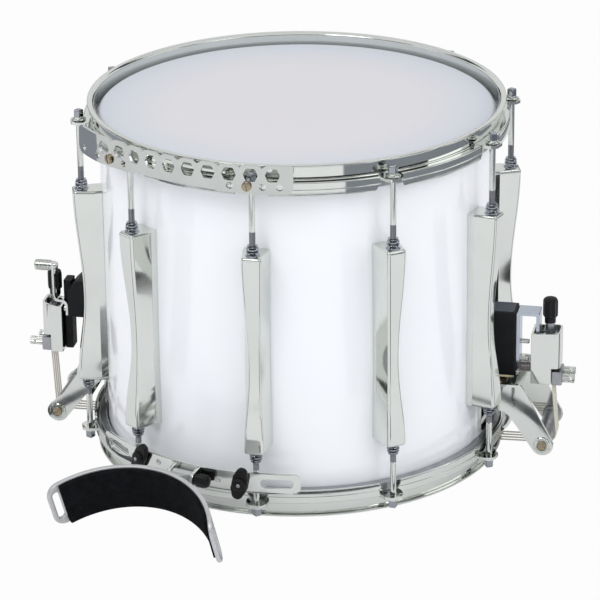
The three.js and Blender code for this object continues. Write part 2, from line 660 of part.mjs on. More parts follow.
// Lug: a waisted column with a flat back, straight flanks and a narrow face, and a swivel nut at each end.
function lug() {
  const blend = (share, end, waist) => {
    const part = share < LUG_WAIST_SHARE ? share / LUG_WAIST_SHARE : (1 - share) / (1 - LUG_WAIST_SHARE);
    return end + (waist - end) * Math.sin((Math.PI / 2) * part) ** 2;
  };
  const ring = (share, bevel) => {
    const z = LUG_TOP - share * LUG_LENGTH;
    const base = blend(share, LUG_BASE_WIDTH, LUG_WAIST_BASE_WIDTH) / 2;
    const face = blend(share, LUG_FACE_WIDTH, LUG_WAIST_FACE_WIDTH) / 2;
    const front = SEAT + blend(share, LUG_DEPTH, LUG_WAIST_DEPTH) - bevel;
    const flank = SEAT + LUG_FLANK;
    return [
      [SEAT, -base, z],
      [flank, -base, z],
      [front, -face, z],
      [front, face, z],
      [flank, base, z],
      [SEAT, base, z],
    ];
  };
  const bevelShare = LUG_BEVEL / LUG_LENGTH;
  const inner = series(LUG_STATIONS + 1, (i) => bevelShare + ((1 - 2 * bevelShare) * i) / LUG_STATIONS);
  const body = loft([ring(0, LUG_BEVEL), ...inner.map((share) => ring(share, 0)), ring(1, LUG_BEVEL)]);
  const swivel = (from, outward) => {
    const [low, high] = ordered(from - outward * WELD, from + outward * SWIVEL_HEIGHT);
    return prism(circle(ROD_CIRCLE_RADIUS, 0, SWIVEL_RADIUS, ROD_SIDES), "z", low, high);
  };
  const bore = circle(ROD_CIRCLE_RADIUS, 0, ROD_BORE_RADIUS, ROD_SIDES);
  return cut(
    joined(body, swivel(LUG_TOP, 1), swivel(LUG_BOTTOM, -1)),
    prism(bore, "z", LUG_TOP - ROD_ENGAGEMENT - GAP, LUG_TOP + SWIVEL_HEIGHT + OVERRUN),
    prism(bore, "z", LUG_BOTTOM - SWIVEL_HEIGHT - OVERRUN, LUG_BOTTOM + ROD_ENGAGEMENT + GAP),
  );
}

// Tension rod: seat is where its washer lies, outward is +1 for the upper rods and -1 for the lower ones.
function tensionRod(seat, outward, end) {
  const washer = seat + outward * WASHER_HEIGHT;
  const profile = [
    [0, end],
    [ROD_RADIUS, end],
    [ROD_RADIUS, seat],
    [WASHER_RADIUS, seat],
    [WASHER_RADIUS, washer],
    [0, washer],
  ];
  const turned = revolved(profile, ROD_SIDES).translate(ROD_CIRCLE_RADIUS, 0, 0);
  const half = KEY_WIDTH / 2;
  const [low, high] = ordered(washer - outward * WELD, washer + outward * KEY_HEIGHT);
  const key = rectangle(ROD_CIRCLE_RADIUS - half, -half, ROD_CIRCLE_RADIUS + half, half);
  return joined(turned, prism(key, "z", low, high));
}

const twoDigits = (index) => String(index + 1).padStart(2, "0");

function tensioning() {
  const upperSeat = FLANGE_TOP + GAP;
  const lowerSeat = LOWER_HEAD_FACE - FLANGE_TOP - GAP;
  return series(LUG_COUNT, (i) =>
    station(
      FIRST_LUG_DEG + (360 / LUG_COUNT) * i,
      mesh(`lug_${twoDigits(i)}`, lug(), CHROME()),
      mesh(`top_rod_${twoDigits(i)}`, tensionRod(upperSeat, 1, LUG_TOP - ROD_ENGAGEMENT), CHROME()),
      mesh(`bottom_rod_${twoDigits(i)}`, tensionRod(lowerSeat, -1, LUG_BOTTOM + ROD_ENGAGEMENT), CHROME()),
    ),
  );
}

// Sling rail, in the frame whose polar angle is the azimuth
function railRadius(deg) {
  const span = RAIL_STANDOFF_TO_DEG - RAIL_STANDOFF_FROM_DEG;
  const part = THREE.MathUtils.clamp((deg - RAIL_STANDOFF_FROM_DEG) / span, 0, 1);
  return RAIL_RADIUS + RAIL_STANDOFF * part * part * (3 - 2 * part);
}

// How far the rail's face turns away from the azimuth where it runs out to its standoff
function railSlope(deg) {
  const climb = railRadius(deg + RAIL_SLOPE_STEP_DEG) - railRadius(deg - RAIL_SLOPE_STEP_DEG);
  return -Math.atan2(climb / radians(2 * RAIL_SLOPE_STEP_DEG), railRadius(deg));
}

const throughRail = (outline, deg) =>
  prism(outline, "x", -OVERRUN, RAIL_METAL + OVERRUN)
    .rotateZ(railSlope(deg))
    .translate(railRadius(deg), 0, 0)
    .rotateZ(radians(deg));

function slingRail() {
  const plate = bentPlate(railRadius, RAIL_METAL, RAIL_FROM_DEG, RAIL_TO_DEG, RAIL_STEPS, RAIL_BOTTOM, RAIL_TOP);
  const footBottom = FLANGE_TOP + GAP;
  const footInner = SKIRT_RADIUS - HOOP_METAL;
  const feet = RAIL_FOOT_DEGS.map((deg) => {
    const half = RAIL_FOOT_WIDTH / 2;
    const sole = rectangle(footInner, -half, railRadius(deg) + WELD, half);
    return prism(sole, "z", footBottom, footBottom + RAIL_FOOT_METAL).rotateZ(radians(deg));
  });
  const waist = bentPlate(
    (deg) => railRadius(deg) - OVERRUN,
    RAIL_METAL + 2 * OVERRUN,
    RAIL_WAIST_FROM_DEG,
    RAIL_WAIST_TO_DEG,
    RAIL_STEPS / 2,
    RAIL_BOTTOM - OVERRUN,
    RAIL_BOTTOM + RAIL_WAIST_RISE,
  );
  const slingHole = (i) => {
    const z = SLING_HOLE_Z + (SLING_HOLE_CLIMB * i) / (SLING_HOLE_COUNT - 1);
    const outline = HEXAGON_SHARES.map(([a, b]) => [(a * SLING_HOLE_WIDTH) / 2, z + (b * SLING_HOLE_HEIGHT) / 2]);
    return throughRail(outline, FIRST_SLING_HOLE_DEG + SLING_HOLE_PITCH_DEG * i);
  };
  const scallop = (i) => {
    const outline = [
      [-SCALLOP_WIDTH / 2, RAIL_TOP + OVERRUN],
      [-SCALLOP_WIDTH / 2, RAIL_TOP],
      [0, RAIL_TOP - SCALLOP_DEPTH],
      [SCALLOP_WIDTH / 2, RAIL_TOP],
      [SCALLOP_WIDTH / 2, RAIL_TOP + OVERRUN],
    ];
    return throughRail(outline, FIRST_SLING_HOLE_DEG + SLING_HOLE_PITCH_DEG * (i + 0.5));
  };
  const pinHoles = RAIL_PIN_HOLE_DEGS.map((deg) =>
    throughRail(circle(0, RAIL_PIN_HOLE_Z, RAIL_PIN_HOLE_RADIUS, ROD_SIDES), deg),
  );
  const screwHoles = RAIL_SCREW_DEGS.map((deg) =>
    throughRail(circle(0, RAIL_SCREW_Z, RAIL_SCREW_SHANK_RADIUS + GAP, ROD_SIDES), deg),
  );
  return cut(
    joined(plate, ...feet),
    waist,
    ...series(SLING_HOLE_COUNT, slingHole),
    ...series(SLING_HOLE_COUNT - 1, scallop),
    ...pinHoles,
    ...screwHoles,
    throughRail(cornerCut(0, RAIL_BOTTOM, RAIL_CORNER, -1, 1), RAIL_TO_DEG),
    throughRail(cornerCut(0, RAIL_BOTTOM, RAIL_CORNER, 1, 1), RAIL_FROM_DEG),
    throughRail(cornerCut(0, RAIL_TOP, RAIL_CORNER, 1, -1), RAIL_FROM_DEG),
  );
}

// Slotted screw, in a frame whose X starts at the rail's inside face
function railScrew() {
  const outer = RAIL_METAL + GAP;
  const half = RAIL_SCREW_SLOT / 2;
  return cut(
    joined(
      prism(circle(0, RAIL_SCREW_Z, RAIL_SCREW_RADIUS, SCREW_SIDES), "x", outer, outer + RAIL_SCREW_HEAD),
      prism(circle(0, RAIL_SCREW_Z, RAIL_SCREW_SHANK_RADIUS, ROD_SIDES), "x", 0, outer + WELD),
    ),
    prism(
      rectangle(-RAIL_SCREW_RADIUS, RAIL_SCREW_Z - half, RAIL_SCREW_RADIUS, RAIL_SCREW_Z + half),
      "x",
      outer + RAIL_SCREW_HEAD / 2,
      outer + RAIL_SCREW_HEAD + OVERRUN,
    ),
  );
}

// Snares: the strands under the lower head and the plate at each of their ends
const SNARE_SEAT = LOWER_HEAD_FACE - GAP;

function snares() {
  const half = SNARE_PLATE_WIDTH / 2;
  const plate = (side) => {
    const ends = ordered(side * SNARE_PLATE_REACH, side * (SNARE_PLATE_REACH - SNARE_PLATE_LENGTH));
    return prism(rectangle(ends[0], -half, ends[1], half), "z", SNARE_SEAT - SNARE_PLATE_METAL, SNARE_SEAT);
  };
  const reach = SNARE_PLATE_REACH - SNARE_PLATE_LENGTH / 2;
  const strands = series(STRAND_COUNT, (i) => {
    const y = STRAND_PITCH * (i - (STRAND_COUNT - 1) / 2);
    return prism(circle(y, SNARE_SEAT - SNARE_PLATE_METAL / 2, STRAND_RADIUS, STRAND_SIDES), "x", -reach, reach);
  });
  return joined(plate(-1), plate(1), ...strands);
}

// Strainer bracket: a curved base on the shell, two arms out to the roller and a bulged web between them
function strainerBracket(sizes) {
  const { bandTop, armTop, pivotX, pivotZ, outerShares, innerShares, endDegs, webCentreZ, webDegs } = sizes;
  const armRoot = SHELL_RADIUS - ARM_ROOT_DEPTH;
  const bandDeg = (BRACKET_BAND_FLATS * 180) / RING_SEGMENTS;
  const band = bentPlate(
    () => SHELL_RADIUS + GAP,
    BRACKET_METAL,
    -bandDeg,
    bandDeg,
    BRACKET_BAND_FLATS,
    SHELL_BOTTOM + BRACKET_FOOT_RISE,
    bandTop,
  );
  const point = ([across, down]) => [
    armRoot + across * (pivotX - armRoot),
    armTop + down * (pivotZ - armTop),
  ];
  const outline = [
    [armRoot, armTop],
    ...outerShares.map(point),
    ...arc(pivotX, pivotZ, ARM_END_RADIUS, endDegs[0], endDegs[1], ARM_END_STEPS),
    ...innerShares.map(point),
  ];
  const half = ARM_SPAN / 2;
  const arms = [prism(outline, "y", half, half + BRACKET_METAL), prism(outline, "y", -half - BRACKET_METAL, -half)];
  const webX = armRoot + WEB_CENTRE_INSET;
  const web = prism(
    [
      ...arc(webX, webCentreZ, WEB_RADIUS, webDegs[0], webDegs[1], WEB_STEPS),
      ...arc(webX, webCentreZ, WEB_RADIUS - WEB_METAL, webDegs[1], webDegs[0], WEB_STEPS),
    ],
    "y",
    -half - WELD,
    half + WELD,
  );
  const axleHole = circle(pivotX, pivotZ, AXLE_RADIUS + GAP, SCREW_SIDES);
  const reach = half + BRACKET_METAL + OVERRUN;
  return cut(joined(band, web, ...arms, ...(sizes.extra ?? [])), prism(axleHole, "y", -reach, reach));
}

function roller(pivotX, pivotZ) {
  const half = ARM_SPAN / 2;
  const axleEnd = half + BRACKET_METAL + GAP;
  const bar = (radius, sides, reach) => prism(circle(pivotX, pivotZ, radius, sides), "y", -reach, reach);
  const headEnd = axleEnd + AXLE_HEAD_HEIGHT;
  const washer = (side) => {
    const [from, to] = ordered(side * axleEnd, side * headEnd);
    return prism(circle(pivotX, pivotZ, AXLE_HEAD_RADIUS, ROLLER_SIDES), "y", from, to);
  };
  return joined(
    bar(ROLLER_RADIUS, ROLLER_SIDES, half - GAP),
    bar(AXLE_RADIUS, SCREW_SIDES, axleEnd + WELD),
    washer(1),
    washer(-1),
  );
}

// Strainer housing: a tube of rounded plan, open at both ends, with a floor that carries the knob
function strainerHousing(sizes) {
  const { back, front, top, height, slant, knobX, clampTop } = sizes;
  const half = HOUSING_WIDTH / 2;
  const bottom = top - height;
  const plan = (inset) => {
    const corner = HOUSING_CORNER - inset;
    const x = front - HOUSING_CORNER;
    const y = half - HOUSING_CORNER;
    return [
      [back + inset, -half + inset],
      ...arc(x, -y, corner, -90, 0, HOUSING_CORNER_STEPS),
      ...arc(x, y, corner, 0, 90, HOUSING_CORNER_STEPS),
      [back + inset, half - inset],
    ];
  };
  const bridgeTop = top - HOUSING_WELL;
  const bridgeUnder = bridgeTop - HOUSING_BRIDGE;
  const pocketTop = clampTop + CLAMP_POCKET_TOP_GAP;
  const slope = [
    [back - OVERRUN, top - slant],
    [front + OVERRUN, top],
    [front + OVERRUN, top + OVERRUN],
    [back - OVERRUN, top + OVERRUN],
  ];
  const reach = half + OVERRUN;
  return cut(
    prism(plan(0), "z", bottom, top),
    prism(plan(HOUSING_WALL), "z", bridgeTop, top + OVERRUN),
    prism(plan(HOUSING_WALL), "z", bottom - OVERRUN, bridgeUnder),
    prism(circle(knobX, 0, SPINDLE_RADIUS + GAP, SPINDLE_SIDES), "z", bridgeUnder - OVERRUN, bridgeTop + OVERRUN),
    prism(slope, "y", -reach, reach),
    prism(
      rectangle(front - CLAMP_POCKET_DEPTH, bottom - OVERRUN, front + OVERRUN, pocketTop),
      "y",
      -reach,
      reach,
    ),
  );
}

// Fluted grip of a knob, along Z from zero
const flutedGrip = (gripRadius, height) =>
  loft(
    KNOB_SECTION_SHARES.map(([up, wide, flute]) =>
      series(2 * KNOB_FLUTES, (i) => {
        const radius = gripRadius * wide * (i % 2 ? flute : 1);
        const angle = (Math.PI * i) / KNOB_FLUTES;
        return [radius * Math.cos(angle), radius * Math.sin(angle), up * height];
      }),
    ),
  );

// Tension knob: fluted grip, collar on the housing's floor and the spindle below
function tensionKnob(knobX, foot, bridgeTop) {
  const collar = circle(knobX, 0, SPINDLE_COLLAR_RADIUS, SCREW_SIDES);
  const spindle = circle(knobX, 0, SPINDLE_RADIUS, SPINDLE_SIDES);
  return joined(
    flutedGrip(KNOB_RADIUS, KNOB_HEIGHT).translate(knobX, 0, foot),
    prism(collar, "z", bridgeTop + GAP, foot + WELD),
    prism(spindle, "z", bridgeTop + GAP - SPINDLE_LENGTH, foot),
  );
}

// Cord clamp: a block on the spindle that stands in the housing's pocket, with its clamping screws
function cordClamp(sizes) {
  const { front, knobX, clampTop, screws } = sizes;
  const bottom = clampTop - CLAMP_HEIGHT;
  const pocketBack = front - CLAMP_POCKET_DEPTH + GAP;
  const face = front + CLAMP_PROUD;
  const innerHalf = CLAMP_INNER_WIDTH / 2;
  const outerHalf = CLAMP_OUTER_WIDTH / 2;
  const innerBack = knobX - CLAMP_INNER_DEPTH / 2;
  return cut(
    joined(
      prism(rectangle(innerBack, -innerHalf, pocketBack + WELD, innerHalf), "z", bottom, clampTop),
      prism(rectangle(pocketBack, -outerHalf, face, outerHalf), "z", bottom, clampTop),
      ...screws.map(({ y, z, radius, length }) =>
        prism(circle(y, z, radius, SCREW_SIDES), "x", face - WELD, face + length),
      ),
    ),
    prism(circle(knobX, 0, SPINDLE_RADIUS + GAP, SPINDLE_SIDES), "z", bottom - OVERRUN, clampTop + OVERRUN),
  );
}

// Snare cord: four runs from the clamp round the roller to the snare plate, threaded as one piece
function snareCord(startX, startZ, pivotX, pivotZ) {
  const wrap = ROLLER_RADIUS + GAP + CORD_RADIUS;
  const plateX = SNARE_PLATE_REACH + GAP + CORD_RADIUS;
  const turnX = plateX + CORD_RADIUS;
  const tangentDeg = (x, z, side) => {
    const reach = Math.hypot(x - pivotX, z - pivotZ);
    const towards = Math.atan2(z - pivotZ, x - pivotX);
    return THREE.MathUtils.radToDeg(towards + side * Math.acos(wrap / reach));
  };
  const plateZ = SNARE_SEAT - SNARE_PLATE_METAL / 2;
  const arrive = tangentDeg(startX, startZ, -1);
  const leave = tangentDeg(turnX, plateZ, 1);
  const bend = arc(pivotX, pivotZ, wrap, arrive, leave, CORD_WRAP_STEPS);
  const down = (y) => [[startX, y, startZ - CORD_RADIUS], ...bend.map(([x, z]) => [x, y, z]), [turnX, y, plateZ]];
  const up = (y) => down(y).reverse();
  const y = (runs) => CORD_RUN_PITCH * runs;
  const across = (from, to, x, z) => [
    [x, from + Math.sign(to - from) * CORD_RADIUS, z],
    [x, to - Math.sign(to - from) * CORD_RADIUS, z],
  ];
  return cordThrough(
    [
      ...down(y(-1.5)),
      ...across(y(-1.5), y(-0.5), plateX, plateZ),
      ...up(y(-0.5)),
      ...across(y(-0.5), y(0.5), startX, startZ),
      ...down(y(0.5)),
      ...across(y(0.5), y(1.5), plateX, plateZ),
      ...up(y(1.5)),
    ],
    CORD_RADIUS,
    CORD_SIDES,
  );
}

// Throw-off strainer
function throwoff() {
  const blockFront = SEAT + THROWOFF_BLOCK_DEPTH;
  const blockTop = SHELL_BOTTOM + THROWOFF_BLOCK_RISE;
  const blockBottom = blockTop - THROWOFF_BLOCK_HEIGHT;
  const blockOutline = [
    [SEAT, blockBottom],
    [blockFront, blockBottom],
    [blockFront, blockTop - THROWOFF_BLOCK_CHAMFER],
    [blockFront - THROWOFF_BLOCK_CHAMFER, blockTop],
    [SEAT, blockTop],
  ];
  const back = SHELL_RADIUS + THROWOFF_HOUSING_REACH;
  const front = back + THROWOFF_HOUSING_DEPTH;
  const top = SHELL_BOTTOM + THROWOFF_HOUSING_RISE;
  const knobX = back + THROWOFF_KNOB_INSET;
  const clampTop = top - THROWOFF_CLAMP_DROP;
  const guideTop = blockTop - GUIDE_DROP;
  const guideSide = -GUIDE_OFFSET - GUIDE_WIDTH / 2;
  const guide = rectangle(guideSide, guideTop - GUIDE_LENGTH, guideSide + GUIDE_WIDTH, guideTop);
  const pinHole = circle(LEVER_Y, blockBottom + LEVER_FOOT, LEVER_PIN_RADIUS + GAP, SCREW_SIDES);
  const block = cut(
    joined(
      prism(blockOutline, "y", -BLOCK_WIDTH / 2, BLOCK_WIDTH / 2),
      prism(guide, "x", blockFront - THROWOFF_BLOCK_CHAMFER, back - GAP),
    ),
    prism(pinHole, "x", blockFront - LEVER_PIN_LENGTH - GAP, blockFront + OVERRUN),
  );
  const housingSizes = {
    back,
    front,
    top,
    height: THROWOFF_HOUSING_HEIGHT,
    slant: THROWOFF_HOUSING_SLANT,
    knobX,
    clampTop,
    screws: [
      {
        y: CLAMP_SCREW_OFFSET,
        z: clampTop - THROWOFF_LOW_SCREW_DROP,
        radius: CLAMP_SCREW_RADIUS,
        length: CLAMP_SCREW_LENGTH,
      },
      {
        y: -CLAMP_SCREW_OFFSET,
        z: clampTop - THROWOFF_HIGH_SCREW_DROP,
        radius: THROWOFF_HIGH_SCREW_RADIUS,
        length: THROWOFF_HIGH_SCREW_LENGTH,
      },
    ],
  };
  const pivotX = SHELL_RADIUS + THROWOFF_PIVOT_REACH;
  const pivotZ = SHELL_BOTTOM + THROWOFF_PIVOT_RISE;
  const bracket = strainerBracket({
    bandTop: SHELL_BOTTOM + THROWOFF_BAND_RISE,
    armTop: SHELL_BOTTOM + THROWOFF_BAND_RISE,
    pivotX,
    pivotZ,
    outerShares: THROWOFF_ARM_OUTER_SHARES,
    innerShares: THROWOFF_ARM_INNER_SHARES,
    endDegs: THROWOFF_ARM_END_DEGS,
    webCentreZ: SHELL_BOTTOM + THROWOFF_WEB_RISE,
    webDegs: THROWOFF_WEB_DEGS,
  });
  const cordX = front - CLAMP_POCKET_DEPTH + CORD_RADIUS;
  const cordZ = clampTop - CLAMP_HEIGHT - GAP - CORD_RADIUS;
  return station(
    THROWOFF_DEG,
    mesh("throwoff_block", block, BLACK_PLASTIC()),
    mesh("throwoff_bracket", bracket, CHROME()),
    mesh("throwoff_lever", lever(blockFront, blockBottom), CHROME()),
    mesh("throwoff_housing", strainerHousing(housingSizes), CHROME()),
    mesh("throwoff_knob", tensionKnob(knobX, top + THROWOFF_KNOB_LIFT, top - HOUSING_WELL), BLACK_PLASTIC()),
    mesh("throwoff_clamp", cordClamp(housingSizes), CHROME()),
    mesh("throwoff_roller", roller(pivotX, pivotZ), STEEL()),
    mesh("cord_left", snareCord(cordX, cordZ, pivotX, pivotZ), IVORY_CORD()),
    mesh("snare_strands", snares(), STEEL()),
  );
}

// Throw-off lever: a bent strip on a radial pin, which swings sideways, with a grip across its top
function lever(blockFront, blockBottom) {
  const footX = blockFront + GAP;
  const stripX = SHELL_RADIUS + LEVER_STRIP_REACH;
  const shoulder = blockBottom + LEVER_SHOULDER_RISE;
  const top = blockBottom + LEVER_TOP_RISE;
  const gripZ = top - GRIP_DROP;
  const strip = [
    [footX, blockBottom],
    [footX + LEVER_METAL, blockBottom],
    [footX + LEVER_METAL, shoulder - LEVER_METAL],
    [stripX - LEVER_BEND + LEVER_METAL, shoulder],
    [stripX + LEVER_METAL, shoulder + LEVER_BEND],
    [stripX + LEVER_METAL, top],
    [stripX, top],
    [stripX, shoulder + LEVER_BEND + LEVER_METAL],
    [stripX - LEVER_BEND, shoulder + LEVER_METAL],
    [footX, shoulder],
  ];
  const gripFrom = stripX + LEVER_METAL - WELD;
  return joined(
    prism(strip, "y", LEVER_Y - LEVER_WIDTH / 2, LEVER_Y + LEVER_WIDTH / 2),
    prism(circle(LEVER_Y, gripZ, GRIP_RADIUS, SCREW_SIDES), "x", gripFrom, gripFrom + GRIP_LENGTH),
    prism(circle(LEVER_Y, gripZ, GRIP_NUT_RADIUS, SCREW_SIDES), "x", stripX - GRIP_NUT_LENGTH, stripX + WELD),
    prism(
      circle(LEVER_Y, blockBottom + LEVER_FOOT, LEVER_PIN_RADIUS, SCREW_SIDES),
      "x",
      blockFront - LEVER_PIN_LENGTH,
      footX + WELD,
    ),
  );
}

// Butt strainer
function butt() {
  const blockFront = SEAT + BUTT_BLOCK_DEPTH;
  const blockTop = SHELL_BOTTOM + BUTT_BLOCK_RISE;
  const blockBottom = blockTop - BUTT_BLOCK_HEIGHT;
  const half = BLOCK_WIDTH / 2;
  const block = prism(rectangle(SEAT, blockBottom, blockFront, blockTop), "y", -half, half);
  const carrierX = blockFront + GAP;
  const back = SHELL_RADIUS + BUTT_HOUSING_REACH;
  const front = back + BUTT_HOUSING_DEPTH;
  const top = SHELL_BOTTOM + BUTT_HOUSING_RISE;
  const knobX = back + BUTT_KNOB_INSET;
  const clampTop = top - BUTT_CLAMP_DROP;
  const pivotX = SHELL_RADIUS + BUTT_PIVOT_REACH;
  const pivotZ = SHELL_BOTTOM + BUTT_PIVOT_RISE;
  const carrierHalf = CARRIER_WIDTH / 2;
  const carrierTop = blockTop - CARRIER_DROP;
  const armTop = SHELL_BOTTOM + BUTT_ARM_RISE;
  const stapleUnder = carrierTop - STAPLE_METAL;
  const flangeHalf = ARM_SPAN / 2 + BRACKET_METAL;
  const extra = [
    prism(
      [
        [carrierX, carrierTop - CARRIER_HEIGHT - WELD],
        [carrierX + CARRIER_DEPTH, carrierTop - CARRIER_HEIGHT - WELD],
        [carrierX + CARRIER_DEPTH, stapleUnder],
        [carrierX + STAPLE_REACH - STAPLE_METAL, stapleUnder],
        [carrierX + STAPLE_REACH - STAPLE_METAL, carrierTop - STAPLE_LEG],
        [carrierX + STAPLE_REACH, carrierTop - STAPLE_LEG],
        [carrierX + STAPLE_REACH, carrierTop],
        [carrierX, carrierTop],
      ],
      "y",
      -carrierHalf,
      carrierHalf,
    ),
    prism(
      rectangle(-flangeHalf, armTop - CROSS_FLANGE_HEIGHT, flangeHalf, armTop + WELD),
      "x",
      carrierX,
      carrierX + BRACKET_METAL,
    ),
    prism(
      rectangle(-carrierHalf, armTop - WELD, carrierHalf, carrierTop - CARRIER_HEIGHT),
      "x",
      carrierX,
      carrierX + BRACKET_METAL,
    ),
    ...CARRIER_PIN_DROPS.map((drop) =>
      prism(
        circle(carrierX + CARRIER_PIN_LENGTH, carrierTop - drop, CARRIER_PIN_RADIUS, SCREW_SIDES),
        "y",
        -carrierHalf - CARRIER_PIN_RADIUS,
        carrierHalf + CARRIER_PIN_RADIUS,
      ),
    ),
    prism(
      circle(0, carrierTop - SPACER_DROP, SPACER_RADIUS, SCREW_SIDES),
      "x",
      carrierX,
      back - GAP,
    ),
  ];
  const bracket = strainerBracket({
    bandTop: SHELL_BOTTOM + BUTT_BAND_RISE,
    armTop,
    pivotX,
    pivotZ,
    outerShares: BUTT_ARM_OUTER_SHARES,
    innerShares: BUTT_ARM_INNER_SHARES,
    endDegs: BUTT_ARM_END_DEGS,
    webCentreZ: SHELL_BOTTOM + BUTT_WEB_RISE,
    webDegs: BUTT_WEB_DEGS,
    extra,
  });
  const housingSizes = {
    back,
    front,
    top,
    height: BUTT_HOUSING_HEIGHT,
    slant: BUTT_HOUSING_SLANT,
    knobX,
    clampTop,
    screws: [
      {
        y: -CLAMP_SCREW_OFFSET,
        z: clampTop - BUTT_LOW_SCREW_DROP,
        radius: CLAMP_SCREW_RADIUS,
        length: BUTT_SCREW_LENGTH,
      },
      {
        y: CLAMP_SCREW_OFFSET,
        z: clampTop - BUTT_HIGH_SCREW_DROP,
        radius: BUTT_HIGH_SCREW_RADIUS,
        length: BUTT_SCREW_LENGTH,
      },
    ],
  };
  const cordX = front - CLAMP_POCKET_DEPTH + CORD_RADIUS;
  const cordZ = clampTop - CLAMP_HEIGHT - GAP - CORD_RADIUS;
  return station(
    BUTT_DEG,
    mesh("butt_block", block, BLACK_PLASTIC()),
    mesh("butt_bracket", bracket, CHROME()),
    mesh("butt_housing", strainerHousing(housingSizes), CHROME()),
    mesh("butt_knob", tensionKnob(knobX, top + BUTT_KNOB_LIFT, top - HOUSING_WELL), BLACK_PLASTIC()),
    mesh("butt_clamp", cordClamp(housingSizes), CHROME()),
    mesh("butt_roller", roller(pivotX, pivotZ), STEEL()),
    mesh("cord_right", snareCord(cordX, cordZ, pivotX, pivotZ), IVORY_CORD()),
  );
}

// Knee rest rail with the cheeks and pin of its hinge, in the frame whose polar angle is the azimuth
function kneeRail() {
  const bottom = KNEE_RAIL_TOP - KNEE_RAIL_HEIGHT;
  const outer = KNEE_RAIL_RADIUS + KNEE_RAIL_METAL;
  const through = (outline, deg) =>
    prism(outline, "x", KNEE_RAIL_RADIUS - OVERRUN, outer + OVERRUN).rotateZ(radians(deg));
  const plate = bentPlate(
    () => KNEE_RAIL_RADIUS,
    KNEE_RAIL_METAL,
    KNEE_RAIL_FROM_DEG,
    KNEE_RAIL_TO_DEG,
    KNEE_RAIL_STEPS,
    bottom,
    KNEE_RAIL_TOP,
  );
  const cheekOutline = [
    [KNEE_RAIL_RADIUS + WELD, HINGE_Z - CHEEK_ROOT_HEIGHT / 2],
    ...arc(HINGE_RADIUS, HINGE_Z, CHEEK_END_RADIUS, -80, 80, 6),
    [KNEE_RAIL_RADIUS + WELD, HINGE_Z + CHEEK_ROOT_HEIGHT / 2],
  ];
  const span = CHEEK_INNER_SPAN / 2;
  const cheeks = [
    prism(cheekOutline, "y", span, span + CHEEK_METAL).rotateZ(radians(HINGE_DEG)),
    prism(cheekOutline, "y", -span - CHEEK_METAL, -span).rotateZ(radians(HINGE_DEG)),
  ];
  const half = KNEE_RAIL_FOOT_WIDTH / 2;
  const footOutline = rectangle(KNEE_RAIL_RADIUS - KNEE_RAIL_FOOT_INSET, -half, KNEE_RAIL_RADIUS + WELD, half);
  const feet = KNEE_RAIL_FOOT_LUGS.map((i) =>
    prism(footOutline, "z", bottom, bottom + KNEE_RAIL_FOOT_METAL).rotateZ(lugAngle(i)),
  );
  const rodHoles = KNEE_RAIL_FOOT_LUGS.map((i) =>
    prism(
      circle(ROD_CIRCLE_RADIUS, 0, ROD_BORE_RADIUS, ROD_SIDES),
      "z",
      bottom - OVERRUN,
      bottom + KNEE_RAIL_FOOT_METAL + OVERRUN,
    ).rotateZ(lugAngle(i)),
  );
  const middle = (KNEE_RAIL_TOP + bottom) / 2;
  const slots = KNEE_SLOT_DEGS.map((deg) => through(slot(0, middle, KNEE_SLOT_LENGTH, KNEE_SLOT_WIDTH), deg));
  const shankHole = (z, deg) => through(circle(0, z, WING_SHANK_RADIUS + GAP, SCREW_SIDES), deg);
  const pinSection = circle(HINGE_RADIUS, HINGE_Z, HINGE_PIN_RADIUS, SCREW_SIDES);
  const pinEnds = [-span - CHEEK_METAL - HINGE_PIN_RADIUS, HINGE_KNOB_FROM + HINGE_PIN_REACH];
  const pin = prism(pinSection, "y", ...pinEnds).rotateZ(radians(HINGE_DEG));
  return cut(
    joined(plate, ...cheeks, pin, ...feet),
    ...rodHoles,
    ...slots,
    shankHole(KNEE_RAIL_TOP - WING_LEFT_DROP, WING_LEFT_DEG),
    shankHole(KNEE_RAIL_TOP - WING_RIGHT_DROP, WING_RIGHT_DEG),
    through(cornerCut(0, bottom, KNEE_RAIL_CORNER, -1, 1), KNEE_RAIL_TO_DEG),
    through(cornerCut(0, KNEE_RAIL_TOP, KNEE_RAIL_CORNER, -1, -1), KNEE_RAIL_TO_DEG),
    through(cornerCut(0, bottom, KNEE_RAIL_CORNER, 1, 1), KNEE_RAIL_FROM_DEG),
    through(cornerCut(0, KNEE_RAIL_TOP, KNEE_RAIL_CORNER, 1, -1), KNEE_RAIL_FROM_DEG),
  );
}

// Wing screw through the knee rail, with its nut behind the plate
function wingScrew(drop, turnDeg) {
  const z = KNEE_RAIL_TOP - drop;
  const face = KNEE_RAIL_RADIUS + KNEE_RAIL_METAL + GAP;
  const nutFace = KNEE_RAIL_RADIUS - GAP;
  const mirrored = WING_SHARES.map(([a, b]) => [-a, -b]);
  const wings = [...WING_SHARES, ...mirrored].map(([a, b]) => [(a * WING_LENGTH) / 2, (b * WING_WIDTH) / 2]);
  const turn = radians(turnDeg);
  const turned = wings.map(([a, b]) => [
    a * Math.cos(turn) - b * Math.sin(turn),
    z + a * Math.sin(turn) + b * Math.cos(turn),
  ]);
  return joined(
    prism(turned, "x", face, face + WING_THICKNESS),
    prism(circle(0, z, WING_HUB_RADIUS, SCREW_SIDES), "x", face + WELD, face + WING_HUB_HEIGHT),
    prism(circle(0, z, WING_SHANK_RADIUS, SCREW_SIDES), "x", nutFace - WELD, face + WELD),
    prism(circle(0, z, WING_NUT_RADIUS, ROD_SIDES), "x", nutFace - WING_NUT_HEIGHT, nutFace),
  );
}

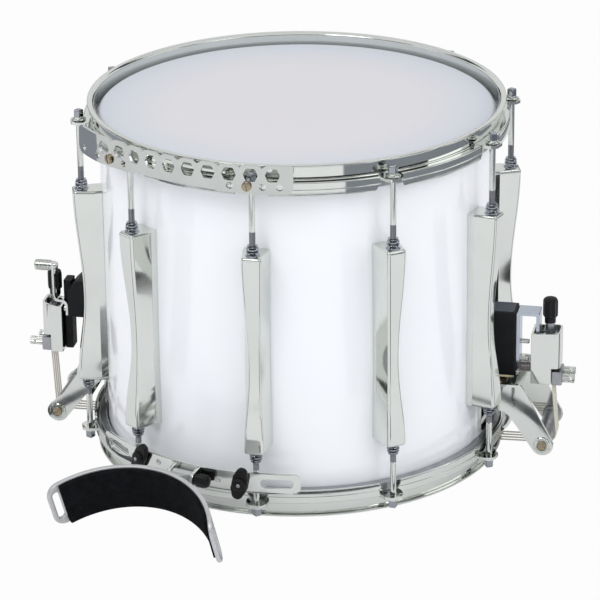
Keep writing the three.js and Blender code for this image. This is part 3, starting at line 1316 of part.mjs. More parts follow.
// Hinge knob: it turns on the end of the pin that is fixed in the cheeks.
function hingeKnob() {
  const grip = flutedGrip(HINGE_KNOB_RADIUS, HINGE_KNOB_LENGTH)
    .rotateX(-Math.PI / 2)
    .translate(HINGE_RADIUS, HINGE_KNOB_FROM, HINGE_Z);
  const bore = circle(HINGE_RADIUS, HINGE_Z, HINGE_PIN_RADIUS + GAP, SCREW_SIDES);
  return cut(grip, prism(bore, "y", HINGE_KNOB_FROM - OVERRUN, HINGE_KNOB_FROM + HINGE_PIN_REACH + GAP));
}

// Knee plate, in a frame on the hinge: +X out to the plate, +Y along the hinge and +Z up the plate's width.
// The plate's curve has its axis outside, so that its hollow side takes the knee.
function kneeGroup() {
  const axisX = KNEE_PLATE_REACH + KNEE_PLATE_RADIUS;
  const low = -KNEE_PLATE_DROP;
  const high = low + KNEE_PLATE_WIDTH;
  const through = (outline, deg) =>
    prism(outline, "x", KNEE_PLATE_RADIUS - KNEE_PLATE_METAL - OVERRUN, KNEE_PLATE_RADIUS + OVERRUN)
      .rotateZ(radians(deg) + Math.PI)
      .translate(axisX, 0, 0);
  const band = bentPlate(
    () => KNEE_PLATE_RADIUS - KNEE_PLATE_METAL,
    KNEE_PLATE_METAL,
    -KNEE_PLATE_HALF_DEG,
    KNEE_PLATE_HALF_DEG,
    KNEE_PLATE_STEPS,
    low,
    high,
  )
    .rotateZ(Math.PI)
    .translate(axisX, 0, 0);
  const middle = (low + high) / 2;
  const slotInset = STRAP_SLOT_RIM + STRAP_SLOT_WIDTH / 2;
  const slotDeg = KNEE_PLATE_HALF_DEG - THREE.MathUtils.radToDeg(slotInset / KNEE_PLATE_RADIUS);
  const strapSlot = slot(0, 0, STRAP_SLOT_LENGTH, STRAP_SLOT_WIDTH).map(([a, b]) => [b, middle + a]);
  const armHalf = KNEE_ARM_WIDTH / 2;
  const plateBack = KNEE_PLATE_REACH + WELD;
  const armOutline = [
    [0, -KNEE_ARM_NECK],
    [plateBack, KNEE_ARM_FOOT_LOW],
    [plateBack, KNEE_ARM_FOOT_HIGH],
    [plateBack - KNEE_ARM_NECK, KNEE_ARM_FOOT_HIGH],
    [0, KNEE_ARM_NECK],
  ];
  const barrelHalf = CHEEK_INNER_SPAN / 2 - GAP;
  const plate = cut(
    joined(
      band,
      prism(armOutline, "y", -armHalf, armHalf),
      prism(circle(0, 0, BARREL_RADIUS, ROLLER_SIDES), "y", -barrelHalf, barrelHalf),
    ),
    through(strapSlot, slotDeg),
    through(strapSlot, -slotDeg),
    through(cornerCut(0, low, KNEE_PLATE_CORNER, -1, 1), KNEE_PLATE_HALF_DEG),
    through(cornerCut(0, high, KNEE_PLATE_CORNER, -1, -1), KNEE_PLATE_HALF_DEG),
    through(cornerCut(0, low, KNEE_PLATE_CORNER, 1, 1), -KNEE_PLATE_HALF_DEG),
    through(cornerCut(0, high, KNEE_PLATE_CORNER, 1, -1), -KNEE_PLATE_HALF_DEG),
    prism(
      circle(0, 0, HINGE_PIN_RADIUS + GAP, SCREW_SIDES),
      "y",
      -barrelHalf - OVERRUN,
      barrelHalf + OVERRUN,
    ),
  );
  const padBack = KNEE_PLATE_RADIUS - KNEE_PLATE_METAL - GAP;
  const padLow = low + PAD_MARGIN;
  const padHigh = high - PAD_MARGIN;
  const padSection = [
    [padBack, padLow],
    [padBack, padHigh],
    [padBack - PAD_EDGE, padHigh],
    [padBack - PAD_THICKNESS, (padLow + 2 * padHigh) / 3],
    [padBack - PAD_THICKNESS, (2 * padLow + padHigh) / 3],
    [padBack - PAD_EDGE, padLow],
  ];
  const rings = series(PAD_STEPS + 1, (i) => {
    const angle = radians(-PAD_HALF_DEG + (2 * PAD_HALF_DEG * i) / PAD_STEPS) + Math.PI;
    return padSection.map(([radius, z]) => [axisX + radius * Math.cos(angle), radius * Math.sin(angle), z]);
  });
  const group = new THREE.Group();
  group.position.set(HINGE_RADIUS, 0, HINGE_Z);
  group.rotation.y = radians(HINGE_PITCH_DEG);
  group.add(mesh("knee_plate", plate, STEEL()), mesh("knee_pad", loft(rings), BLACK_FELT()));
  return group;
}

const drum = new THREE.Group();
drum.name = "marching_snare_drum";

// Round pieces have their facets turned so that a flat faces each lug.
const facetTurn = radians(FIRST_LUG_DEG) + Math.PI / RING_SEGMENTS;
const ringMeshes = new THREE.Group();
ringMeshes.rotation.z = facetTurn;
ringMeshes.add(
  mesh("shell", shell(), WHITE_GLOSS()),
  mesh("batter_head", head(upward), COATED_FILM()),
  mesh("snare_side_head", head(downward), CLEAR_FILM()),
);

drum.add(
  ringMeshes,
  station(
    0,
    mesh("batter_hoop", upperHoop(), CHROME()),
    mesh("snare_side_hoop", lowerHoop(), CHROME()),
    mesh("sling_rail", slingRail(), CHROME()),
    mesh("knee_rail", kneeRail(), CHROME()),
  ),
  ...["sling_screw_left", "sling_screw_right"].map((name, i) => {
    const screw = mesh(name, railScrew(), BRASS());
    screw.position.x = railRadius(RAIL_SCREW_DEGS[i]);
    screw.rotation.z = railSlope(RAIL_SCREW_DEGS[i]);
    return station(RAIL_SCREW_DEGS[i], screw);
  }),
  ...tensioning(),
  throwoff(),
  butt(),
  station(WING_LEFT_DEG, mesh("wing_screw_left", wingScrew(WING_LEFT_DROP, WING_LEFT_TURN_DEG), BLACK_PLASTIC())),
  station(WING_RIGHT_DEG, mesh("wing_screw_right", wingScrew(WING_RIGHT_DROP, WING_RIGHT_TURN_DEG), BLACK_PLASTIC())),
  station(HINGE_DEG, mesh("knee_hinge_knob", hingeKnob(), BLACK_PLASTIC()), kneeGroup()),
);

export default drum;
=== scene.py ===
"""Looks of a marching snare drum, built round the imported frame.

Sizes are in millimetres until a piece is finished. The origin is on the drum's axis in the batter head's
playing surface, +Z is up and the player stands at -Y. An azimuth counts round the axis from -Y towards +X.
A piece at an azimuth is made in a station frame: +X out from the drum, +Y along the shell, +Z up.
"""
import json
import logging
import math
from collections.abc import Callable, Iterable, Sequence
from dataclasses import dataclass, field
from enum import Enum
from functools import cache

import bmesh
import bpy
from mathutils import Matrix, Vector

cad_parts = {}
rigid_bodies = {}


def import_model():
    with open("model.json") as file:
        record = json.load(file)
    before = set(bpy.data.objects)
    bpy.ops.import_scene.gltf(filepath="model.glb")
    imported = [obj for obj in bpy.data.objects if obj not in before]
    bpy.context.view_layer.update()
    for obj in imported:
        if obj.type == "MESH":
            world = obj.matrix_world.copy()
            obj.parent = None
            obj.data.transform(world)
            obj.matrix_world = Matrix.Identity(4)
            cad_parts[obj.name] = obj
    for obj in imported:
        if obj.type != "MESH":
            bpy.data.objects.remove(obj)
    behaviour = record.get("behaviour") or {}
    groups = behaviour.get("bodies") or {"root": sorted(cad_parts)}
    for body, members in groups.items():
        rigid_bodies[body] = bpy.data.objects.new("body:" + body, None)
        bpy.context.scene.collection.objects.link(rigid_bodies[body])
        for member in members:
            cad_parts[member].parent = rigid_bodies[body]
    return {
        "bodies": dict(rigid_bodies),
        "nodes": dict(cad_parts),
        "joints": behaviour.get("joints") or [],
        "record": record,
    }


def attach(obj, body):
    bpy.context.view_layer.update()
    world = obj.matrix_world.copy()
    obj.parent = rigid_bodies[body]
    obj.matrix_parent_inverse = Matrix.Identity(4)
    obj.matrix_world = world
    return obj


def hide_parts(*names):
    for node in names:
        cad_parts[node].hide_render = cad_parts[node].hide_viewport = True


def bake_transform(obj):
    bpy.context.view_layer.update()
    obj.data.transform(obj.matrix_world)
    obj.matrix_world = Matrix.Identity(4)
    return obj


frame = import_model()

LOG = logging.getLogger("snare_drum")
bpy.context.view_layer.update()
MM = 0.001
ROUND_STEPS = 240  # of a full turn of the shell, the heads and the hoops
GAP = 0.3  # between pieces that turn on or lie against each other
SEAT = 175.957  # where lugs and blocks stand on the shell
ROD_CIRCLE = 193.7
ROD_HOLE = 3.05
LOWER_FACE = -306.4
SNARE_SEAT = -306.7
SNARE_REACH = 186.5  # outer end of the snare plates
THROWOFF_AZIMUTH = -101.5
BUTT_AZIMUTH = 78.5

Point = tuple[float, float]
Corner = tuple[float, float, float]
Spot = Sequence[float]
Color = tuple[float, float, float]
Inputs = dict[int | str, object]


class Body(Enum):
    """The bodies of the frame that pieces ride on."""

    DRUM = "drum"
    LEVER = "lever"
    TENSIONER = "throwoff_tensioner"
    LEFT_KNOB = "throwoff_knob_body"
    LEFT_CLAMP = "throwoff_clamp_body"
    LEFT_ROLLER = "throwoff_roller_body"
    RIGHT_KNOB = "butt_knob_body"
    RIGHT_CLAMP = "butt_clamp_body"
    RIGHT_ROLLER = "butt_roller_body"
    KNEE = "knee_rest"
    WING_LEFT = "wing_left"
    WING_RIGHT = "wing_right"
    HINGE_KNOB = "hinge_knob"


class Axis(Enum):
    """The way an outline is carried. Its two coordinates are the other two, in order."""

    X = "x"
    Y = "y"
    Z = "z"

    def place(self, a: float, b: float, depth: float) -> Vector:
        """Puts an outline's point at a depth along the axis.

        Args:
            a: First coordinate of the outline.
            b: Second coordinate of the outline.
            depth: Distance along the axis.

        Returns:
            The point in space.
        """
        if self is Axis.X:
            return Vector((depth, a, b))
        if self is Axis.Y:
            return Vector((a, depth, b))
        return Vector((a, b, depth))

    def turn(self) -> Matrix:
        """Turns from Z to this axis.

        Returns:
            The rotation that lays a piece made along Z along this axis.
        """
        if self is Axis.X:
            return Matrix.Rotation(math.pi / 2, 4, "Y")
        if self is Axis.Y:
            return Matrix.Rotation(-math.pi / 2, 4, "X")
        return Matrix.Identity(4)


def srgb(red: int, green: int, blue: int) -> Color:
    """Turns a colour of 0 to 255 into the linear values that a shader takes."""
    shares = (red / 255, green / 255, blue / 255)
    return tuple(c / 12.92 if c <= 0.04045 else ((c + 0.055) / 1.055) ** 2.4 for c in shares)


def station(azimuth: float) -> Matrix:
    """Returns the frame of an azimuth in degrees."""
    return Matrix.Rotation(math.radians(azimuth) - math.pi / 2, 4, "Z")


def arc_length(degrees: float, radius: float) -> float:
    """Returns the length of an arc."""
    return math.radians(degrees) * radius


# Outlines


def arc(a: float, b: float, radius: float, start: float, end: float, steps: int) -> list[Point]:
    """Points of an arc about (a, b), both ends included.

    Args:
        a: Centre's first coordinate.
        b: Centre's second coordinate.
        radius: Radius of the arc.
        start: First angle in degrees.
        end: Last angle in degrees.
        steps: Number of chords.

    Returns:
        The points in order.
    """
    angles = [math.radians(start + (end - start) * i / steps) for i in range(steps + 1)]
    return [(a + radius * math.cos(t), b + radius * math.sin(t)) for t in angles]


def circle(a: float, b: float, radius: float, sides: int = 24) -> list[Point]:
    """Points of a circle about (a, b)."""
    return arc(a, b, radius, 0, 360 - 360 / sides, sides - 1)


def rectangle(a0: float, b0: float, a1: float, b1: float) -> list[Point]:
    """Corners of a rectangle."""
    return [(a0, b0), (a1, b0), (a1, b1), (a0, b1)]


def slot(a: float, b: float, length: float, width: float) -> list[Point]:
    """Outline of a slot with round ends, its long way along the first coordinate."""
    reach = (length - width) / 2
    return arc(a + reach, b, width / 2, -90, 90, 10) + arc(a - reach, b, width / 2, 90, 270, 10)


def eased(points: Sequence[Point], radius: float, steps: int = 3) -> list[Point]:
    """Rounds every corner of a closed outline.

    Args:
        points: The outline's corners.
        radius: How far from a corner its round starts, at most 0.45 of either side.
        steps: Chords of each round.

    Returns:
        The rounded outline.
    """
    out: list[Point] = []
    for i, corner in enumerate(points):
        here = Vector(corner)
        before, after = Vector(points[i - 1]) - here, Vector(points[(i + 1) % len(points)]) - here
        reach = min(radius, 0.45 * before.length, 0.45 * after.length)
        start, end = here + before.normalized() * reach, here + after.normalized() * reach
        for k in range(steps + 1):
            t = k / steps
            out.append(tuple(start.lerp(here, t).lerp(here.lerp(end, t), t)))
    return out


class Blank:
    """A workpiece: one bmesh in millimetres that operators shape."""

    def __init__(self) -> None:
        """Starts with nothing."""
        self.bm = bmesh.new()

    @classmethod
    def extruded(cls, outline: Sequence[Point], axis: Axis, start: float, end: float) -> "Blank":
        """Extrudes an outline.

        Args:
            outline: Its points, in the axis's plane.
            axis: The way it is carried.
            start: Where it starts.
            end: Where it ends.

        Returns:
            The closed workpiece.
        """
        blank = cls()
        face = blank.bm.faces.new([blank.bm.verts.new(axis.place(a, b, start)) for a, b in outline])
        blank.carry([face], axis.place(0, 0, end - start))
        return blank.faced()

    @classmethod
    def spun(cls, profile: Sequence[Point], steps: int = ROUND_STEPS) -> "Blank":
        """Spins a profile about Z.

        Args:
            profile: Points of radius and height. One that starts and ends on the axis is left open there.
            steps: Steps of the full turn.

        Returns:
            The closed workpiece.
        """
        blank = cls()
        verts = [blank.bm.verts.new((radius, 0, z)) for radius, z in profile]
        pairs = list(zip(verts, verts[1:]))
        if profile[0][0] > 0 or profile[-1][0] > 0:
            pairs.append((verts[-1], verts[0]))
        edges = [blank.bm.edges.new(pair) for pair in pairs]
        bmesh.ops.spin(blank.bm, geom=verts + edges, cent=(0, 0, 0), axis=(0, 0, 1), angle=2 * math.pi,
                       steps=steps, use_merge=True, use_duplicate=False)
        bmesh.ops.remove_doubles(blank.bm, verts=blank.bm.verts, dist=0.002)
        return blank.faced()

    @classmethod
    def lofted(cls, rings: Sequence[Sequence[Spot]]) -> "Blank":
        """Extrudes a face from ring to ring.

        Args:
            rings: Rings of equally many points.

        Returns:
            The closed workpiece.
        """
        blank = cls()
        face = blank.bm.faces.new([blank.bm.verts.new(p) for p in rings[0]])
        for i, (before, ring) in enumerate(zip(rings, rings[1:])):
            made = bmesh.ops.extrude_face_region(blank.bm, geom=[face])["geom"]
            if i and face.is_valid:
                bmesh.ops.delete(blank.bm, geom=[face], context="FACES_ONLY")
            face = next(f for f in made if isinstance(f, bmesh.types.BMFace))
            for vert in [v for v in made if isinstance(v, bmesh.types.BMVert)]:
                nearest = min(range(len(before)), key=lambda i: (Vector(before[i]) - vert.co).length_squared)
                vert.co = ring[nearest]
        return blank.faced()

    @classmethod
    def rod(cls, axis: Axis, a: float, b: float, radius: float, start: float, end: float,
            edge: float = 0.4) -> "Blank":
        """Turns a plain rod with eased ends.

        Args:
            axis: The rod's axis.
            a: Its centre's first coordinate across the axis.
            b: Its centre's second coordinate across the axis.
            radius: Its radius.
            start: Where it starts along the axis.
            end: Where it ends.
            edge: How much its ends are eased.

        Returns:
            The workpiece.
        """
        low, high = sorted((start, end))
        inner = radius - edge
        profile = [(0, low), (inner, low), (radius, low + edge),
                   (radius, high - edge), (inner, high), (0, high)]
        return cls.spun(profile, 28).laid(axis, a, b)

    def carry(self, faces: Sequence[bmesh.types.BMFace], way: Vector) -> None:
        """Extrudes faces along a vector.

        Args:
            faces: The faces.
            way: How far and where they are carried.
        """
        made = bmesh.ops.extrude_face_region(self.bm, geom=faces)["geom"]
        moved = [v for v in made if isinstance(v, bmesh.types.BMVert)]
        bmesh.ops.translate(self.bm, verts=moved, vec=way)

    def faced(self) -> "Blank":
        """Turns all faces outwards.

        Returns:
            The workpiece.
        """
        bmesh.ops.recalc_face_normals(self.bm, faces=self.bm.faces)
        if self.bm.calc_volume(signed=True) < 0:
            bmesh.ops.reverse_faces(self.bm, faces=self.bm.faces)
        return self

    def moved(self, matrix: Matrix) -> "Blank":
        """Moves the workpiece by a matrix."""
        bmesh.ops.transform(self.bm, matrix=matrix, verts=self.bm.verts)
        return self

    def laid(self, axis: Axis, a: float, b: float) -> "Blank":
        """Lays a workpiece made along Z along another axis, with its centre at (a, b) across it."""
        return self.moved(Matrix.Translation(axis.place(a, b, 0)) @ axis.turn())

    def turned(self, degrees: float) -> "Blank":
        """Turns the workpiece about Z."""
        return self.moved(Matrix.Rotation(math.radians(degrees), 4, "Z"))

    def shifted(self, x: float, y: float, z: float) -> "Blank":
        """Shifts the workpiece.

        Args:
            x: How far along X.
            y: How far along Y.
            z: How far along Z.

        Returns:
            The workpiece.
        """
        return self.moved(Matrix.Translation((x, y, z)))

    def flipped(self) -> "Blank":
        """Turns the workpiece upside down about X.

        Returns:
            The workpiece.
        """
        return self.moved(Matrix.Rotation(math.pi, 4, "X"))

    def beside(self, *others: "Blank") -> "Blank":
        """Takes other workpieces in as they are.

        Args:
            others: The other workpieces.

        Returns:
            The workpiece.
        """
        for other in others:
            mesh = bpy.data.meshes.new("beside")
            other.bm.to_mesh(mesh)
            self.bm.from_mesh(mesh)
            bpy.data.meshes.remove(mesh)
        return self

    def beveled(self, width: float, segments: int = 2, angle: float = 32) -> "Blank":
        """Bevels the sharp edges.

        Args:
            width: The bevel's width.
            segments: Its number of segments.
            angle: The angle in degrees over which an edge is sharp.

        Returns:
            The workpiece.
        """
        least = math.radians(angle)
        sharp = [e for e in self.bm.edges if len(e.link_faces) == 2 and e.calc_face_angle() > least]
        return self.beveled_at(sharp, width, segments)

    def beveled_at(self, edges: Sequence[bmesh.types.BMEdge], width: float, segments: int) -> "Blank":
        """Bevels the given edges."""
        bmesh.ops.bevel(self.bm, geom=edges, offset=width, offset_type="OFFSET", segments=segments,
                        profile=0.5, affect="EDGES", clamp_overlap=True, material=-1)
        return self

    def carved(self, *cutters: "Blank") -> "Blank":
        """Takes cutters that don't touch each other out of the workpiece.

        Args:
            cutters: The workpieces to take away.

        Returns:
            The workpiece.
        """
        held = []
        for blank in (self, Blank().beside(*cutters)):
            mesh = bpy.data.meshes.new("held")
            blank.bm.to_mesh(mesh)
            held.append(bpy.data.objects.new("held", mesh))
            bpy.context.scene.collection.objects.link(held[-1])
        modifier = held[0].modifiers.new("carve", "BOOLEAN")
        modifier.operation, modifier.solver, modifier.object = "DIFFERENCE", "EXACT", held[1]
        graph = bpy.context.evaluated_depsgraph_get()
        result = bpy.data.meshes.new_from_object(held[0].evaluated_get(graph))
        self.bm.clear()
        self.bm.from_mesh(result)
        for mesh in (*[h.data for h in held], result):
            bpy.data.meshes.remove(mesh)
        bmesh.ops.remove_doubles(self.bm, verts=self.bm.verts, dist=0.004)
        return self


# Shaders


class Wire:
    """A socket that Python's operators work on. Each adds its Math node."""

    def __init__(self, tree: "Tree", socket: bpy.types.NodeSocket) -> None:
        """Wraps a socket of a node tree."""
        self.tree, self.socket = tree, socket

    def math(self, operation: str, *others: "Wire | float", clamp: bool = False) -> "Wire":
        """Adds a Math node on this wire.

        Args:
            operation: The node's operation.
            others: Its other values.
            clamp: Whether it keeps its result from 0 to 1.

        Returns:
            The result's wire.
        """
        inputs = dict(enumerate((self, *others)))
        return self.tree.wire("ShaderNodeMath", {"operation": operation, "use_clamp": clamp}, inputs)

    def __add__(self, other: "Wire | float") -> "Wire":
        """Adds."""
        return self.math("ADD", other)

    __radd__ = __add__

    def __sub__(self, other: "Wire | float") -> "Wire":
        """Subtracts."""
        return self.math("SUBTRACT", other)

    def __rsub__(self, other: float) -> "Wire":
        """Subtracts from a number."""
        return (self * -1).math("ADD", other)

    def __mul__(self, other: "Wire | float") -> "Wire":
        """Multiplies."""
        return self.math("MULTIPLY", other)

    __rmul__ = __mul__

    def __pow__(self, other: float) -> "Wire":
        """Raises to a power."""
        return self.math("POWER", other)

    def between(self, low: float, high: float) -> "Wire":
        """Maps the stretch from low to high onto 0 to 1, clamped."""
        return ((self - low) * (1 / (high - low))).math("MULTIPLY", 1.0, clamp=True)


class Tree:
    """A node tree, whose nodes all come from one method."""

    def __init__(self, tree: bpy.types.NodeTree) -> None:
        """Takes a tree and clears it."""
        self.tree = tree
        tree.nodes.clear()

    def node(self, kind: str, settings: dict[str, object] | None = None,
             inputs: Inputs | None = None) -> bpy.types.Node:
        """Adds a node.

        Args:
            kind: The node's type.
            settings: Its properties, set first.
            inputs: Values or wires for its sockets.

        Returns:
            The node.
        """
        made = self.tree.nodes.new(kind)
        for name, value in (settings or {}).items():
            setattr(made, name, value)
        for name, value in (inputs or {}).items():
            if isinstance(value, Wire):
                self.tree.links.new(value.socket, made.inputs[name])
            else:
                made.inputs[name].default_value = value
        return made

    def wire(self, kind: str, settings: dict[str, object] | None = None, inputs: Inputs | None = None,
             output: int | str = 0) -> Wire:
        """Adds a node and returns the wire of one of its outputs."""
        return Wire(self, self.node(kind, settings, inputs).outputs[output])


class Shader(Tree):
    """A material's node tree with its Principled shader."""

    def __init__(self, name: str) -> None:
        """Makes the material, its shader and its output."""
        self.material = bpy.data.materials.new(name)
        self.material.use_nodes = True
        super().__init__(self.material.node_tree)
        self.surface = self.node("ShaderNodeBsdfPrincipled")
        self.node("ShaderNodeOutputMaterial", inputs={"Surface": Wire(self, self.surface.outputs[0])})

    def place(self, scale: Spot = (1, 1, 1)) -> Wire:
        """Returns object coordinates in metres, scaled."""
        coordinate = self.wire("ShaderNodeTexCoord", output="Object")
        return self.wire("ShaderNodeMapping", inputs={"Vector": coordinate, "Scale": scale})

    def axes(self) -> tuple[Wire, ...]:
        """Returns the three object coordinates in metres."""
        split = self.node("ShaderNodeSeparateXYZ", inputs={0: self.place()})
        return tuple(Wire(self, output) for output in split.outputs)

    def noise(self, scale: float, detail: float = 3.0, at: Wire | None = None,
              roughness: float = 0.5) -> Wire:
        """Returns a noise of a given scale, per metre."""
        inputs = {"Vector": at or self.place(), "Scale": scale, "Detail": detail, "Roughness": roughness}
        return self.wire("ShaderNodeTexNoise", inputs=inputs)

    def blend(self, share: Wire, first: Color | Wire, second: Color) -> Wire:
        """Returns a mix of two colours by a share."""
        inputs = {0: share, 6: first if isinstance(first, Wire) else (*first, 1.0), 7: (*second, 1.0)}
        return self.wire("ShaderNodeMix", {"data_type": "RGBA"}, inputs, output=2)

    def set(self, name: str, value: object) -> None:
        """Sets a socket of the surface.

        Args:
            name: The socket's name.
            value: A value or a wire.
        """
        if isinstance(value, Wire):
            self.tree.links.new(value.socket, self.surface.inputs[name])
        else:
            self.surface.inputs[name].default_value = value

    def bump(self, height: Wire, distance: float, strength: float = 1.0) -> None:
        """Raises the surface by a height."""
        inputs = {"Height": height, "Distance": distance, "Strength": strength}
        self.set("Normal", self.wire("ShaderNodeBump", inputs=inputs))


@dataclass(frozen=True)
class Finish:
    """A plain finish; the kinds below add what their surface shows."""

    name: str
    color: Color
    roughness: float = 0.3
    metallic: float = 0.0

    def shade(self, share: float, lift: float = 0.0) -> Color:
        """Returns the finish's colour times a share, and lifted."""
        return tuple(c * share + lift for c in self.color)

    def dress(self, shader: Shader) -> None:
        """Adds what this kind of surface shows."""

    @cache
    def material(self) -> bpy.types.Material:
        """Makes the finish's material, once.

        Returns:
            The material.
        """
        shader = Shader(self.name)
        shader.set("Base Color", (*self.color, 1.0))
        shader.set("Roughness", self.roughness)
        shader.set("Metallic", self.metallic)
        self.dress(shader)
        shader.material.diffuse_color = (*self.color, 1.0)
        return shader.material


@dataclass(frozen=True)
class Lacquer(Finish):
    """Gloss lacquer over ply: clear coat, faint orange peel and a cooler tone in its thicker flow."""

    tint: Color = (0.8, 0.82, 0.86)

    def dress(self, shader: Shader) -> None:
        """Adds coat, tone and peel."""
        cloud = shader.noise(9.0, 2.0).between(0.35, 0.75)
        shader.set("Base Color", shader.blend(cloud * 0.3, self.color, self.tint))
        shader.set("Roughness", shader.noise(60.0, 3.0) * 0.06 + (self.roughness - 0.03))
        shader.set("Coat Weight", 0.6)
        shader.set("Coat Roughness", 0.04)
        shader.bump(shader.noise(420.0, 2.0), 0.00003)


@dataclass(frozen=True)
class Plate(Finish):
    """Chrome plate: a mirror with faint wipe marks and the casting's slow waves under it."""

    wave: float = 0.00002

    def dress(self, shader: Shader) -> None:
        """Adds marks and waves."""
        wiped = shader.noise(34.0, 5.0).between(0.42, 0.78)
        fine = shader.noise(900.0, 2.0, shader.place((1, 1, 0.06)))
        shader.set("Roughness", wiped * 0.07 + fine * 0.03 + self.roughness)
        shader.set("Base Color", shader.blend(wiped * 0.35, self.color, self.shade(0.9)))
        shader.bump(shader.noise(30.0, 1.0), self.wave)


@dataclass(frozen=True)
class Turned(Finish):
    """Metal from a lathe or a die, with fine drawn lines."""

    lines: float = 2200.0

    def dress(self, shader: Shader) -> None:
        """Adds drawn lines and a duller haze."""
        drawn = shader.noise(self.lines, 3.0, shader.place((0.05, 0.05, 1)))
        haze = shader.noise(120.0, 4.0).between(0.35, 0.7)
        shader.set("Roughness", drawn * 0.16 + haze * 0.12 + (self.roughness - 0.1))
        shader.set("Base Color", shader.blend(haze * 0.5, self.color, self.shade(0.72)))
        shader.bump(drawn, 0.00003, 0.6)


@dataclass(frozen=True)
class Cast(Finish):
    """Tumbled cast metal with a soft grain."""

    def dress(self, shader: Shader) -> None:
        """Adds grain and wear."""
        grain = shader.noise(1500.0, 4.0)
        patch = shader.noise(42.0, 4.0).between(0.35, 0.7)
        shader.set("Roughness", grain * 0.14 + patch * 0.1 + (self.roughness - 0.1))
        shader.set("Base Color", shader.blend(patch * 0.5, self.color, self.shade(0.86)))
        shader.bump(grain, 0.00005, 0.7)


@dataclass(frozen=True)
class Moulded(Finish):
    """Moulded plastic with a spark-eroded grain."""

    def dress(self, shader: Shader) -> None:
        """Adds grain and handling shine."""
        grain = shader.noise(2600.0, 3.0)
        rubbed = shader.noise(70.0, 3.0).between(0.4, 0.7)
        shader.set("Roughness", rubbed * -0.12 + grain * 0.12 + self.roughness)
        shader.set("Base Color", shader.blend(rubbed * 0.4, self.color, self.shade(1.5, 0.001)))
        shader.set("Specular IOR Level", 0.25)
        shader.bump(grain, 0.00004, 0.8)


@dataclass(frozen=True)
class CoatedFilm(Finish):
    """Drum film with a sprayed coat, painted darker and cooler near the rim: painted shade from the hoop."""

    # painted shade: the darker, cooler colour that the film takes near the rim, where the hoop shades it
    rim: Color = (0.8, 0.82, 0.88)
    rim_from: float = 0.12
    rim_to: float = 0.172

    def dress(self, shader: Shader) -> None:
        """Adds the spray's grain and the painted shade near the rim."""
        x, y, _ = shader.axes()
        radius = (x * x + y * y) ** 0.5
        cloud = shader.noise(7.0, 3.0)
        share = (radius + cloud * 0.02).between(self.rim_from, self.rim_to)
        spray = shader.noise(1300.0, 4.0, roughness=0.7)
        # painted shade: the film turns to the rim colour towards the rim
        shader.set("Base Color", shader.blend(share, self.color, self.rim))
        shader.set("Roughness", spray * 0.2 + (self.roughness - 0.1))
        shader.bump(spray, 0.00008, 0.7)


@dataclass(frozen=True)
class ClearFilm(Finish):
    """Thin clear film that shows the inside as through haze."""

    alpha: float = 0.45

    def dress(self, shader: Shader) -> None:
        """Adds haze and see-through."""
        haze = shader.noise(22.0, 4.0).between(0.3, 0.8)
        shader.set("Roughness", haze * 0.1 + self.roughness)
        shader.set("Alpha", haze * 0.1 + self.alpha)


@dataclass(frozen=True)
class Ply(Finish):
    """Sealed maple on the inside of the shell, its grain round the drum."""

    def dress(self, shader: Shader) -> None:
        """Adds grain."""
        grain = shader.noise(60.0, 6.0, shader.place((1, 1, 14)))
        shader.set("Base Color", shader.blend(grain.between(0.3, 0.7), self.color, self.shade(0.7)))
        shader.bump(grain, 0.0001, 0.5)


@dataclass(frozen=True)
class Braid(Finish):
    """Woven cord: strands that cross as they climb."""

    strands: float = 9000.0

    def dress(self, shader: Shader) -> None:
        """Adds the braid's crossing waves, their grooves painted darker as painted shade."""
        _, across, up = shader.axes()
        first = ((across + up) * self.strands).math("SINE")
        second = ((across - up) * self.strands).math("SINE")
        weave = first.math("MAXIMUM", second).between(-0.4, 1.0)
        # painted shade: the grooves between the strands are painted darker
        shader.set("Base Color", shader.blend(weave, self.shade(0.6), self.color))
        shader.bump(weave, 0.0001, 0.6)


@dataclass(frozen=True)
class Felt(Finish):
    """Black felt with matted fibres and a little lint."""

    lint: Color = (0.08, 0.08, 0.09)

    def dress(self, shader: Shader) -> None:
        """Adds fibres and lint."""
        fibre = shader.noise(1900.0, 6.0, roughness=0.7)
        mat = shader.noise(150.0, 4.0)
        lint = shader.noise(700.0, 2.0).between(0.68, 0.74)
        tone = shader.blend(mat.between(0.3, 0.7), self.color, self.shade(1.8, 0.001))
        shader.set("Base Color", shader.blend(lint * 0.25, tone, self.lint))
        shader.set("Specular IOR Level", 0.1)
        shader.bump(fibre * 0.7 + mat * 0.3, 0.0004, 0.9)


WHITE_LACQUER = Lacquer("white_lacquer", srgb(242, 244, 248), 0.14, tint=srgb(236, 239, 246))
MAPLE = Ply("sealed_maple", srgb(214, 178, 128), 0.4)
# rim colour: a painted shade, darker and cooler than the film
COATED = CoatedFilm("coated_film", srgb(217, 215, 218), 0.7, rim=srgb(207, 211, 219))
CLEAR = ClearFilm("clear_film", srgb(228, 231, 234), 0.16)
CHROME = Plate("chrome_plate", srgb(222, 225, 220), 0.045, 1.0)
RAIL_CHROME = Plate("rail_plate", srgb(203, 206, 202), 0.07, 1.0)
# painted shade: a darker, bluer copy of the chrome for the swivels and keys, standing in for their darker
# reflections
SHADED_CHROME = Plate("chrome_painted_shade", srgb(164, 168, 174), 0.06, 1.0)
THREAD = Turned("cut_thread", srgb(150, 152, 156), 0.4, 1.0)
STEEL = Turned("turned_steel", srgb(176, 178, 182), 0.32, 1.0)
BRONZE = Turned("bronze_screw", srgb(176, 163, 138), 0.26, 1.0)
SPACER = Turned("spacer_sleeve", srgb(170, 160, 164), 0.38, 0.9)
SATIN = Cast("satin_casting", srgb(208, 209, 210), 0.4, 0.85)
